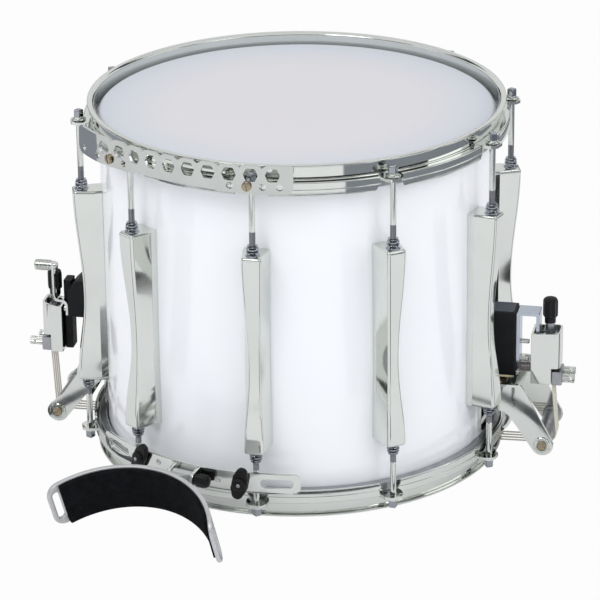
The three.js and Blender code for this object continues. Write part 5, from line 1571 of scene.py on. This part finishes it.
    def build_knob(self) -> None:
        """Makes the fluted knob, its neck and its threaded spindle."""
        floor, foot = self.top - self.well, self.knob_foot
        knob = fluted(6.8, 24, 8, self.grip).laid(Axis.Z, self.knob_x, 0).shifted(0, 0, foot)
        self.piece("knob_grip", knob, BLACK_PLASTIC, self.knob, (f"{self.name}_knob",), "knob_black")
        steps = [(0, floor + 0.3), (4.0, floor + 0.3), (4.0, foot - 0.6), (4.9, foot - 0.4),
                 (4.9, foot + 0.4), (0, foot + 0.4)]
        self.piece("knob_neck", Blank.spun(steps, 36).laid(Axis.Z, self.knob_x, 0), STEEL, self.knob)
        spindle = threaded(2.1, floor - 41.5, floor, 0.9).laid(Axis.Z, self.knob_x, 0)
        self.piece("knob_spindle", spindle, THREAD, self.knob)

    def build_clamp(self) -> None:
        """Makes the clamp's block and its screws."""
        bottom, back = self.clamp_top - self.clamp_height, self.front - self.pocket + GAP
        face = self.front + self.proud
        block = Blank.extruded(rectangle(self.knob_x - 5, -8, back + 1, 8), Axis.Z, bottom, self.clamp_top)
        block.beveled(0.4)
        block.carved(Blank.rod(Axis.Z, self.knob_x, 0, 2.5, bottom - 2, self.clamp_top + 2, 0.1))
        outline = panel(back, -10.5, face, 10.5, (1, 1.5, 1.5, 1))
        plate = Blank.extruded(outline, Axis.Z, bottom, self.clamp_top).beveled(0.4, 2, 50)
        self.piece("clamp_block", block.beside(plate), STEEL, self.clamp, (f"{self.name}_clamp",))
        for i, (y, z, radius, length) in enumerate(self.screws):
            wide, tip = radius + 1, face + length
            screw = fluted(radius, length, 26, self.knurl, 4).laid(Axis.X, y, z).shifted(face, 0, 0)
            opening = rectangle(y - wide, z - 0.6, y + wide, z + 0.6)
            screw.carved(Blank.extruded(opening, Axis.X, tip - 1.6, tip + 2))
            self.piece(f"clamp_screw_{i + 1}", screw, CHROME, self.clamp)

    def cord_path(self, y: float) -> list[Spot]:
        """Returns a cord run's path from the clamp round the roller to the snare plate."""
        wrap = self.roller_radius + GAP + self.cord_radius
        x0, z0 = self.front - self.pocket + self.cord_radius, self.clamp_top - self.clamp_height + 2
        x1, z1 = SNARE_REACH + GAP + 2 * self.cord_radius, SNARE_SEAT - self.cord_drop
        px, pz = self.pivot

        def tangent(x: float, z: float, side: int) -> float:
            """Returns the angle at which a line from a point touches the roller."""
            angle = math.atan2(z - pz, x - px) + side * math.acos(wrap / math.hypot(x - px, z - pz))
            return math.degrees(angle)

        wrapped = arc(px, pz, wrap, tangent(x0, z0, -1), tangent(x1, z1, 1), 14)
        return [(x0, y, z0), *[(x, y, z) for x, z in wrapped], (x1, y, z1)]

    def build_cord(self) -> None:
        """Makes the cord's four runs and its turns round the snare plate."""
        runs = Blank()
        for k in (-1.5, -0.5, 0.5, 1.5):
            runs.beside(tube(along(self.cord_path(k * self.run), 1.6), self.cord_radius, 5, 24.0, 15))
        x, z = SNARE_REACH + GAP + self.cord_radius, SNARE_SEAT - self.cord_drop
        for k in (-1.5, 0.5):
            path = [(x + 0.6, k * self.run, z), (x, (k + 0.15) * self.run, z), (x, (k + 0.85) * self.run, z),
                    (x + 0.6, (k + 1) * self.run, z)]
            runs.beside(tube(along(path, 1.0), self.cord_radius, 5, 24.0, 15))
        frame = station(self.azimuth)
        start = frame @ Vector((self.front - 7, 0, self.clamp_top - self.clamp_height)) * MM
        end = frame @ Vector((self.front - 7, 0, self.pivot[1] + 6)) * MM
        Piece(f"{self.name}_cord", runs, IVORY, self.holder, frame, (f"cord_{self.cord_side}",), "cord_ivory",
              blend=(start, end)).build()

    def build_common(self) -> None:
        """Builds all that the two strainers share."""
        self.build_bracket()
        self.build_roller()
        self.build_housing()
        self.build_knob()
        self.build_clamp()
        self.build_cord()


@dataclass
class Throwoff(Strainer):
    """Throw-off: a block with a lever that swings sideways."""

    block_depth: float = 37.5
    block_top: float = -176.5
    block_height: float = 35.5
    chamfer: float = 9.5
    half: float = 17.0
    lever_y: float = 11.6
    lever_half: float = 3.5
    strip_x: float = 226.0
    strip_metal: float = 2.4
    strip_bend: float = -199.0
    strip_ends: Point = (-212.0, -161.0)
    screw_z: float = -206.0
    grip_z: float = -164.5
    grip_rib: tuple[Point, ...] = ((4.2, 1.2), (5.0, 1.5), (5.0, 2.2), (4.2, 2.5))

    def build(self) -> None:
        """Builds the whole throw-off."""
        self.build_common()
        front, bottom = SEAT + self.block_depth, self.block_top - self.block_height
        corners = [(SEAT, bottom, 0.6), (front, bottom, 1.5), (front, self.block_top - self.chamfer, 2),
                   (front - self.chamfer, self.block_top, 2), (SEAT, self.block_top, 0.6)]
        body = pierced(rounded(corners), [], Axis.Y, -self.half, self.half, 0.8)
        self.piece("block_body", body, BLOCK_PLASTIC, nodes=("throwoff_block",), slot="block_black")
        tongue = Blank.extruded(panel(213.2, -11, 220.7, 4, (1, 2, 2, 1)), Axis.Z, -249, -182)
        self.piece("block_tongue", tongue.beveled(0.5, 2, 50), BLOCK_PLASTIC, slot="block_black")
        self.build_lever(front + GAP)

    def build_lever(self, foot: float) -> None:
        """Makes the bent strip, its grip and its pivot screw.

        Args:
            foot: Where the strip's inside face lies on the block.
        """
        metal, x, z = self.strip_metal, self.strip_x, self.strip_bend
        low, high = self.strip_ends
        inside = [*bend((foot, z - 5), (foot, z), (foot + 4, z + metal), 6),
                  *bend((x - 5, z + metal), (x, z + metal), (x, z + 7), 6)]
        outside = [*bend((foot + metal, z - 5), (foot + metal, z - metal), (foot + 6, z), 6),
                   *bend((x - 5 + metal, z), (x + metal, z), (x + metal, z + 7), 6)]
        outline = [(foot, low), *inside, (x, high), (x + metal, high), *reversed(outside),
                   (foot + metal, low)]
        near, far = self.lever_y - self.lever_half, self.lever_y + self.lever_half
        strip = Blank.extruded(outline, Axis.Y, near, far).beveled(0.45, 2, 50)
        self.piece("lever_strip", strip, CHROME, Body.LEVER, ("throwoff_lever",))
        ribs = [(0, 0), (4.2, 0), *ribbed(self.grip_rib, 1.45, 9), (4.9, 14.6),
                *bend((4.9, 15.2), (4.8, 17), (0, 17), 6)]
        grip = Blank.spun(ribs, 48).laid(Axis.X, self.lever_y, self.grip_z).shifted(x + metal - 0.6, 0, 0)
        self.piece("lever_grip", grip, CHROME, Body.LEVER)
        nut = Blank.spun([(0, 0), (3.6, 0), (3.6, 1.4), *bend((3.4, 1.6), (3.2, 3.4), (0, 3.6), 6)], 32)
        nut.flipped().laid(Axis.X, self.lever_y, self.grip_z).shifted(x, 0, 0)
        self.piece("lever_nut", nut, CHROME, Body.LEVER)
        screw = slotted(3.2, 2.0).laid(Axis.X, self.lever_y, self.screw_z).shifted(foot + metal, 0, 0)
        self.piece("lever_screw", screw, CHROME, Body.LEVER)


@dataclass
class Butt(Strainer):
    """Butt: a fixed block that carries a second tensioner."""

    block_depth: float = 24.5
    block_top: float = -181.5
    block_height: float = 60.5
    half: float = 13.0
    pins: tuple[float, ...] = (-213.0, -230.0)
    spacer_z: float = -238.0
    spacer_rib: tuple[Point, ...] = ((3.8, 0.2), (4.4, 0.6), (4.4, 1.5), (3.8, 1.9))

    def build(self) -> None:
        """Builds the whole butt."""
        self.build_common()
        front, bottom = SEAT + self.block_depth, self.block_top - self.block_height
        outline = panel(SEAT, -self.half, front, self.half, (0.6, 2, 2, 0.6))
        body = Blank.extruded(outline, Axis.Z, bottom, self.block_top).beveled(0.8, 2, 50)
        self.piece("block_body", body, BLOCK_PLASTIC, nodes=("butt_block",), slot="block_black")
        outline = panel(SEAT + 2, -11, front - 2, 11, 2)
        cap = Blank.extruded(outline, Axis.Z, self.block_top - 0.5, self.block_top + 0.8).beveled(0.3, 2, 50)
        self.piece("block_cap", cap, CAP, slot="block_black")
        x = front + GAP
        staple = [(x, -238.6), (x + 3, -238.6), (x + 3, -185), (x + 17.7, -185), (x + 17.7, -203),
                  (x + 20.7, -203), (x + 20.7, -182), (x, -182)]
        outline = rounded([(a, b, 1.2) for a, b in staple])
        # the staple's chrome carries a painted bluish reflection
        self.piece("staple", pierced(outline, [], Axis.Y, -9, 9, 0.5), BLUISH_REFLECTION_CHROME)
        reach = self.arm_span / 2 + self.metal
        flange = rounded([(-reach, -265, 3), (reach, -265, 3), (reach, -240.4, 3), (9, -240.4, 2),
                          (9, -236, 1), (-9, -236, 1), (-9, -240.4, 2), (-reach, -240.4, 3)])
        self.piece("cross_flange", pierced(flange, [], Axis.X, x, x + self.metal, 0.5), CHROME)
        for i, z in enumerate(self.pins):
            self.piece(f"pin_{i + 1}", Blank.rod(Axis.X, 0, z, 2.2, x, x + 11, 0.8), CHROME)
        ribs = [(0, x), *ribbed(self.spacer_rib, 1.9, 7, x), (0, x + 13.6)]
        self.piece("spacer", Blank.spun(ribs, 40).laid(Axis.X, 0, self.spacer_z), SPACER)
        outline = rectangle(SEAT, -self.half - 0.6, front - 1, self.half + 0.6)
        gasket = Blank.extruded(outline, Axis.Z, bottom - 1.8, bottom - 0.1).beveled(0.4)
        self.piece("gasket", gasket, GASKET, slot="block_black")


# Knee rest


@dataclass
class KneeRest:
    """Knee rest: slotted rail, its wing screws, the hinge and the padded plate."""

    radius: float = 198.5
    metal: float = 2.5
    start: float = -60.0
    end: float = 0.0
    low: float = -287.6
    high: float = -268.5
    slots: tuple[float, ...] = (-53.4, -6.0)
    feet: tuple[float, ...] = (-47.5, -11.5)
    hinge: float = -29.5
    hinge_radius: float = 208.0
    hinge_z: float = -278.0
    pitch: float = 21.5
    plate_radius: float = 93.0
    plate_metal: float = 4.0
    plate_half: float = 64.6
    plate_reach: float = 30.1
    plate_low: float = -5.0
    plate_high: float = 41.1
    strap_at: float = 59.8
    pad_radius: float = 88.7
    pad_half: float = 57.0
    pad_thickness: float = 3.2
    grip: tuple[Corner, ...] = (
        (0, 0.78, 1), (0.1, 0.8, 1), (0.16, 0.95, 0.95), (0.22, 1, 0.9), (0.7, 1, 0.9), (0.82, 0.94, 0.94),
        (0.92, 0.78, 1), (0.98, 0.5, 1), (1, 0.2, 1))

    def build(self) -> None:
        """Builds the whole knee rest."""
        self.build_rail()
        self.build_wing("left", Body.WING_LEFT, -43.9, -275, 62)
        self.build_wing("right", Body.WING_RIGHT, -15.1, -278, 78)
        self.build_hinge()
        self.build_plate()
        self.build_pad()

    def at(self, degrees: float) -> float:
        """Returns the rail's arc length at an azimuth."""
        return arc_length(degrees, self.radius)

    def build_rail(self) -> None:
        """Makes the rail, its feet and the hinge's cheeks."""
        left, right, middle = self.at(self.start), self.at(self.end), (self.low + self.high) / 2
        holes = [slot(self.at(s), middle, 28, 7.5) for s in self.slots]
        holes += [circle(self.at(-38.2), middle + 3, 2.2, 18), circle(self.at(-21), middle, 2.2, 18)]
        blank = pierced(panel(left, self.low, right, self.high, 6), holes, Axis.Y, 0, self.metal, 0.5)
        Piece("knee_rail_plate", bent(blank, self.radius, 3.5), CHROME, nodes=("knee_rail",),
              slot="knee_metal", sharp=35).build()
        outer = self.radius + 1
        sole, hole = panel(188.6, -8, outer, 8, (3, 0.5, 0.5, 3)), circle(ROD_CIRCLE, 0, ROD_HOLE, 20)
        for i, foot in enumerate(self.feet):
            blank = pierced(sole, [hole], Axis.Z, self.low, self.low + self.metal, 0.5)
            Piece(f"knee_rail_foot_{i + 1}", blank, CHROME, frame=station(foot), slot="knee_metal").build()
        cheek = [(outer, self.hinge_z - 8.5), *arc(self.hinge_radius, self.hinge_z, 7, -80, 80, 14),
                 (outer, self.hinge_z + 8.5)]
        for side, low, high in (("right", 10, 13), ("left", -13, -10)):
            blank = pierced(cheek, [circle(self.hinge_radius, self.hinge_z, 3.2, 20)], Axis.Y, low, high, 0.5)
            Piece(f"hinge_cheek_{side}", blank, CHROME, frame=station(self.hinge), slot="knee_metal").build()

    def build_wing(self, side: str, body: Body, azimuth: float, z: float, turn: float) -> None:
        """Makes a wing screw.

        Args:
            side: Its name's end.
            body: What it rides on.
            azimuth: Where it stands.
            z: Its height.
            turn: How far its wings are turned, in degrees.
        """
        face = self.radius + self.metal + GAP
        wide = [(1, 0.3), (0.86, 0.62), (0.4, 1), (-0.4, 1), (-0.86, 0.62), (-1, 0.3)]
        corners = [(a * 15, b * 7, 2.5) for a, b in wide] + [(-a * 15, -b * 7, 2.5) for a, b in wide]
        wings = Blank.extruded(rounded(corners, 4), Axis.Z, 0.2, 5).beveled(1.6, 4, 50)
        hub = Blank.spun([(0, 0), (5.6, 0), (6, 0.4), (6, 6), *bend((6, 6), (5.8, 8), (0, 8), 8)[1:]], 40)
        made = wings.beside(hub).turned(turn - 90).laid(Axis.X, 0, z).shifted(face, 0, 0)
        frame = station(azimuth)
        Piece(f"wing_screw_{side}_wings", made, BLACK_PLASTIC, body, frame, (f"wing_screw_{side}",),
              "knob_black").build()
        shank = Blank.rod(Axis.X, 0, z, 3, self.radius - 1, face + 0.5, 0.2)
        shank.beside(Blank.rod(Axis.X, 0, z, 1.7, face + 7.5, face + 8.7, 0.5))
        nut = Blank.extruded(circle(0, z, 4.4, 6), Axis.X, self.radius - 3.5, self.radius - 0.3).beveled(0.3)
        Piece(f"wing_screw_{side}_shank", shank.beside(nut), STEEL, body, frame, slot="screw_brass").build()

    def build_hinge(self) -> None:
        """Makes the hinge's knob and screw."""
        frame, spot = station(self.hinge), (self.hinge_radius, self.hinge_z)
        knob = fluted(6.2, 13, 8, self.grip).laid(Axis.Y, *spot).shifted(0, 13.3, 0)
        Piece("hinge_knob_grip", knob, BLACK_PLASTIC, Body.HINGE_KNOB, frame, ("knee_hinge_knob",),
              "knob_black").build()
        screw = Blank.rod(Axis.Y, *spot, 3, -13, 13.8, 0.3)
        head = slotted(4.4, 2.6).flipped().laid(Axis.Y, *spot).shifted(0, -13.1, 0)
        Piece("hinge_screw", screw.beside(head), BRONZE, frame=frame, slot="screw_brass").build()

    def plate_frame(self) -> Matrix:
        """Returns the frame of the plate on its hinge."""
        lean = Matrix.Rotation(math.radians(self.pitch), 4, "Y")
        return station(self.hinge) @ Matrix.Translation((self.hinge_radius, 0, self.hinge_z)) @ lean

    def hollow(self, blank: Blank, radius: float) -> Blank:
        """Bends a flat piece to the plate's curve, its Y pointing from the curve's axis to the drum."""
        bent(blank, radius, 3)
        return blank.turned(180).shifted(self.plate_reach + self.plate_radius, 0, 0)

    def build_plate(self) -> None:
        """Makes the curved plate and the arm that holds it."""
        end, middle = arc_length(self.plate_half, self.plate_radius), (self.plate_low + self.plate_high) / 2
        outline = panel(-end, self.plate_low, end, self.plate_high, 12, 10)
        strap = [(b, middle + a) for a, b in slot(0, 0, 30, 6.5)]
        reach = arc_length(self.strap_at, self.plate_radius)
        holes = [[(a + way * reach, b) for a, b in strap] for way in (-1, 1)]
        plate = self.hollow(pierced(outline, holes, Axis.Y, -self.plate_metal, 0, 1.3), self.plate_radius)
        Piece("knee_plate_shell", plate, SATIN, Body.KNEE, self.plate_frame(), ("knee_plate",), "knee_metal",
              sharp=40).build()
        back = self.plate_reach + 0.6
        corners = [(0, -4.6, 1), (back, 4, 1), (back, 27, 1), (back - 4.6, 27, 1), (0, 4.6, 1)]
        arm = pierced(rounded(corners), [], Axis.Y, -9, 9, 0.8)
        barrel = Blank.rod(Axis.Y, 0, 0, 6, -9.7, 9.7, 0.6)
        Piece("knee_arm", arm.beside(barrel), SATIN, Body.KNEE, self.plate_frame(), slot="knee_metal").build()

    def build_pad(self) -> None:
        """Makes the felt pad on the plate's hollow side."""
        end = arc_length(self.pad_half, self.pad_radius)
        low, high = self.plate_low + 0.6, self.plate_high - 1.4
        pad = pierced(panel(-end, low, end, high, 2, 6), [], Axis.Y, -self.pad_thickness, 0, 0)
        edges = [e for e in pad.bm.edges if all(v.co.y < -1 for v in e.verts)
                 and len(e.link_faces) == 2 and e.calc_face_angle() > 1]
        pad.beveled_at(edges, 1.6, 4)
        made = Piece("knee_pad_felt", self.hollow(pad, self.pad_radius), FELT, Body.KNEE, self.plate_frame(),
                     ("knee_pad",), "knee_felt", sharp=60).build()


# Studio


@dataclass
class Studio:
    """Camera at the photograph's place, soft light and dark cards that the chrome reflects."""

    position: Spot = (0.000949, -2.7786, 0.9506)
    pitch: float = 67.723
    roll: float = -0.64
    lens: float = 198.0
    sensor: float = 36.0
    ground: float = -0.322
    sheets: tuple[tuple[str, tuple[float, float], Point, Point, float], ...] = (
        ("card_left", (-68, -57), (0.43, -0.321), (0.82, -0.321), 0.01),
        ("card_front", (22, 34), (0.42, -0.321), (0.82, -0.321), 0.01),
        ("card_right", (76, 86), (0.34, -0.321), (0.82, -0.321), 0.02),
        ("card_inner", (-180, 180), (0.25, -0.321), (0.264, -0.321), 0.06),
        ("card_outer", (-180, 180), (0.93, -0.321), (0.962, -0.321), 0.1),
        ("card_rods", (-72, -56), (0.84, -0.321), (0.93, -0.321), 0.1),
        ("card_hoop_left", (-170, -100), (0.9, -0.321), (1.5, -0.321), 0.3),
        ("card_hoop_right", (23, 130), (0.962, -0.321), (1.5, -0.321), 0.2),
        ("card_low", (-180, 180), (2.3, -0.16), (2.3, 0.34), 0.03),
        ("card_camera", (-75, 75), (2.6, 0.74), (2.6, 1.22), 0.02),
        ("card_high", (-180, 180), (2.5, 1.4), (2.5, 2.0), 0.06))

    def camera(self) -> None:
        """Sets the camera."""
        data = bpy.data.cameras.new("photo_camera")
        data.lens, data.sensor_width, data.clip_end = self.lens, self.sensor, 20
        made = bpy.data.objects.new("photo_camera", data)
        tilt = Matrix.Rotation(math.radians(self.pitch), 4, "X")
        lean = tilt @ Matrix.Rotation(math.radians(self.roll), 4, "Z")
        made.matrix_world = Matrix.Translation(self.position) @ lean
        bpy.context.scene.collection.objects.link(made)
        bpy.context.scene.camera = made

    def world(self) -> None:
        """Lights from all round, white to the camera."""
        world = bpy.data.worlds.new("studio_world")
        world.use_nodes = True
        bpy.context.scene.world = world
        tree = Tree(world.node_tree)
        ray = tree.wire("ShaderNodeLightPath", output="Is Camera Ray")
        light = tree.wire("ShaderNodeBackground", inputs={"Color": (0.985, 0.99, 1.0, 1), "Strength": 0.82})
        seen = tree.wire("ShaderNodeBackground", inputs={"Color": (0.98, 0.98, 0.98, 1)})
        mix = tree.wire("ShaderNodeMixShader", inputs={0: ray, 1: light, 2: seen})
        tree.node("ShaderNodeOutputWorld", inputs={"Surface": mix})

    def lamp(self, name: str, spot: Spot, size: float, power: float, target: Spot = (0, 0, -0.15)) -> None:
        """Adds a soft lamp that faces a target.

        Args:
            name: Its name.
            spot: Where it hangs, in metres.
            size: Its width.
            power: Its power in watts.
            target: What it faces.
        """
        data = bpy.data.lights.new(name, "AREA")
        data.shape, data.size, data.energy = "DISK", size, power
        made = bpy.data.objects.new(name, data)
        way = Vector(target) - Vector(spot)
        made.matrix_world = Matrix.Translation(spot) @ way.to_track_quat("-Z", "Y").to_matrix().to_4x4()
        bpy.context.scene.collection.objects.link(made)

    def sheet(self, name: str, span: tuple[float, float], first: Point, second: Point,
              level: float) -> bpy.types.Object:
        """Bends a card round the drum that only reflections see.

        Args:
            name: Its name.
            span: The azimuths where it starts and ends, in degrees.
            first: Radius and height of one edge, in metres.
            second: Radius and height of the other edge.
            level: Its brightness.

        Returns:
            The card.
        """
        mesh = bpy.data.meshes.new(name)
        bm = bmesh.new()
        bmesh.ops.create_grid(bm, x_segments=96, y_segments=1, size=0.5)
        for vert in bm.verts:
            angle = math.radians(span[0] + (vert.co.x + 0.5) * (span[1] - span[0]))
            radius, z = Vector(first).lerp(Vector(second), vert.co.y + 0.5)
            vert.co = (radius * math.sin(angle), -radius * math.cos(angle), z)
        bm.to_mesh(mesh)
        bm.free()
        made = bpy.data.objects.new(name, mesh)
        made.visible_camera = made.visible_shadow = made.visible_diffuse = False
        bpy.context.scene.collection.objects.link(made)
        mesh.materials.append(Finish(name, (level, level * 1.08, level * 1.25), 1.0).material())
        return made

    def floor(self) -> bpy.types.Object:
        """Lays a pale floor, white to the camera."""
        mesh = bpy.data.meshes.new("studio_floor")
        bm = bmesh.new()
        bmesh.ops.create_circle(bm, cap_ends=True, segments=64, radius=6)
        bmesh.ops.translate(bm, verts=bm.verts, vec=(0, 0, self.ground))
        bm.to_mesh(mesh)
        bm.free()
        made = bpy.data.objects.new("studio_floor", mesh)
        made.visible_camera = False
        bpy.context.scene.collection.objects.link(made)
        mesh.materials.append(Finish("pale_floor", srgb(236, 236, 238), 0.9).material())
        return made

    def build(self) -> None:
        """Sets up the studio."""
        scene = bpy.context.scene
        scene.view_settings.view_transform = "Standard"
        self.camera()
        self.world()
        self.lamp("key_lamp", (-1.6, -2.2, 2.4), 1.6, 30)
        self.lamp("fill_lamp", (2.0, -1.8, 1.4), 1.6, 14)
        self.lamp("left_lamp", (-2.8, -0.4, 0.7), 1.6, 5)
        self.lamp("right_lamp", (2.8, -0.2, 0.7), 1.6, 5)
        self.lamp("low_lamp", (0.0, -2.9, 0.0), 1.2, 2)
        self.floor()
        [self.sheet(*sheet) for sheet in self.sheets]


THROWOFF_SIZES = dict(
    name="throwoff", azimuth=THROWOFF_AZIMUTH, pivot=(221, -299), band_top=-236, arm_top=-236,
    outer=((0.24, 0), (0.7, 0.52), (0.89, 0.72), (1.01, 0.8)), inner=((0.46, 0.75), (0.16, 0.51), (0, 0.41)),
    arm_end=(62, -150), web_z=-262, web=(72, -62), back=221, front=240, top=-201, height=49, slant=5,
    knob_x=229.5, knob_foot=-197, clamp_top=-237, screws=((4, -243.5, 4, 12.5), (-4, -239, 2.8, 6.25)),
    cord_side="left", tensioner=Body.TENSIONER, knob=Body.LEFT_KNOB, clamp=Body.LEFT_CLAMP,
    roller=Body.LEFT_ROLLER, holder=Body.TENSIONER)
BUTT_SIZES = dict(
    name="butt", azimuth=BUTT_AZIMUTH, pivot=(229, -298), band_top=-246, arm_top=-241,
    outer=((0.63, 0), (0.72, 0.14)), inner=((0.54, 0.66), (0.39, 0.48), (0, 0.38)), arm_end=(38, -150),
    web_z=-268, web=(80, -55), back=214.5, front=241, top=-199, height=50, slant=2, knob_x=230,
    knob_foot=-193, clamp_top=-237, screws=((-4, -245, 4, 11.1), (4, -240.5, 3.6, 11.1)),
    cord_side="right", tensioner=Body.DRUM, knob=Body.RIGHT_KNOB, clamp=Body.RIGHT_CLAMP,
    roller=Body.RIGHT_ROLLER, holder=Body.RIGHT_CLAMP)
LUGS = tuple(-83.5 + 36 * i for i in range(10))


def main() -> None:
    """Builds the drum's sub-assemblies in order, then the studio."""
    logging.basicConfig(level=logging.INFO, format="%(message)s")
    Shell().build()
    Head("batter", COATED, False, "batter_head", "head_coated").build()
    Head("snare_side", CLEAR, True, "snare_side_head", "head_clear").build()
    Hoop("batter_hoop_ring", "batter_hoop", False).build(LUGS)
    Hoop("snare_hoop_ring", "snare_side_hoop", True).build(LUGS)
    for i, azimuth in enumerate(LUGS, 1):
        Lug().build(i, azimuth)
        TensionRod(seat=-4.1, way=1, swivel=-59.7).build(f"top_rod_{i:02}", azimuth)
        TensionRod(seat=-302.3, way=-1, swivel=-260.2, thread=8.0).build(f"bottom_rod_{i:02}", azimuth)
    SlingRail().build()
    Snares().build()
    Throwoff(**THROWOFF_SIZES).build()
    Butt(**BUTT_SIZES).build()
    KneeRest().build()
    Studio().build()


if __name__ == "__main__":
    main()
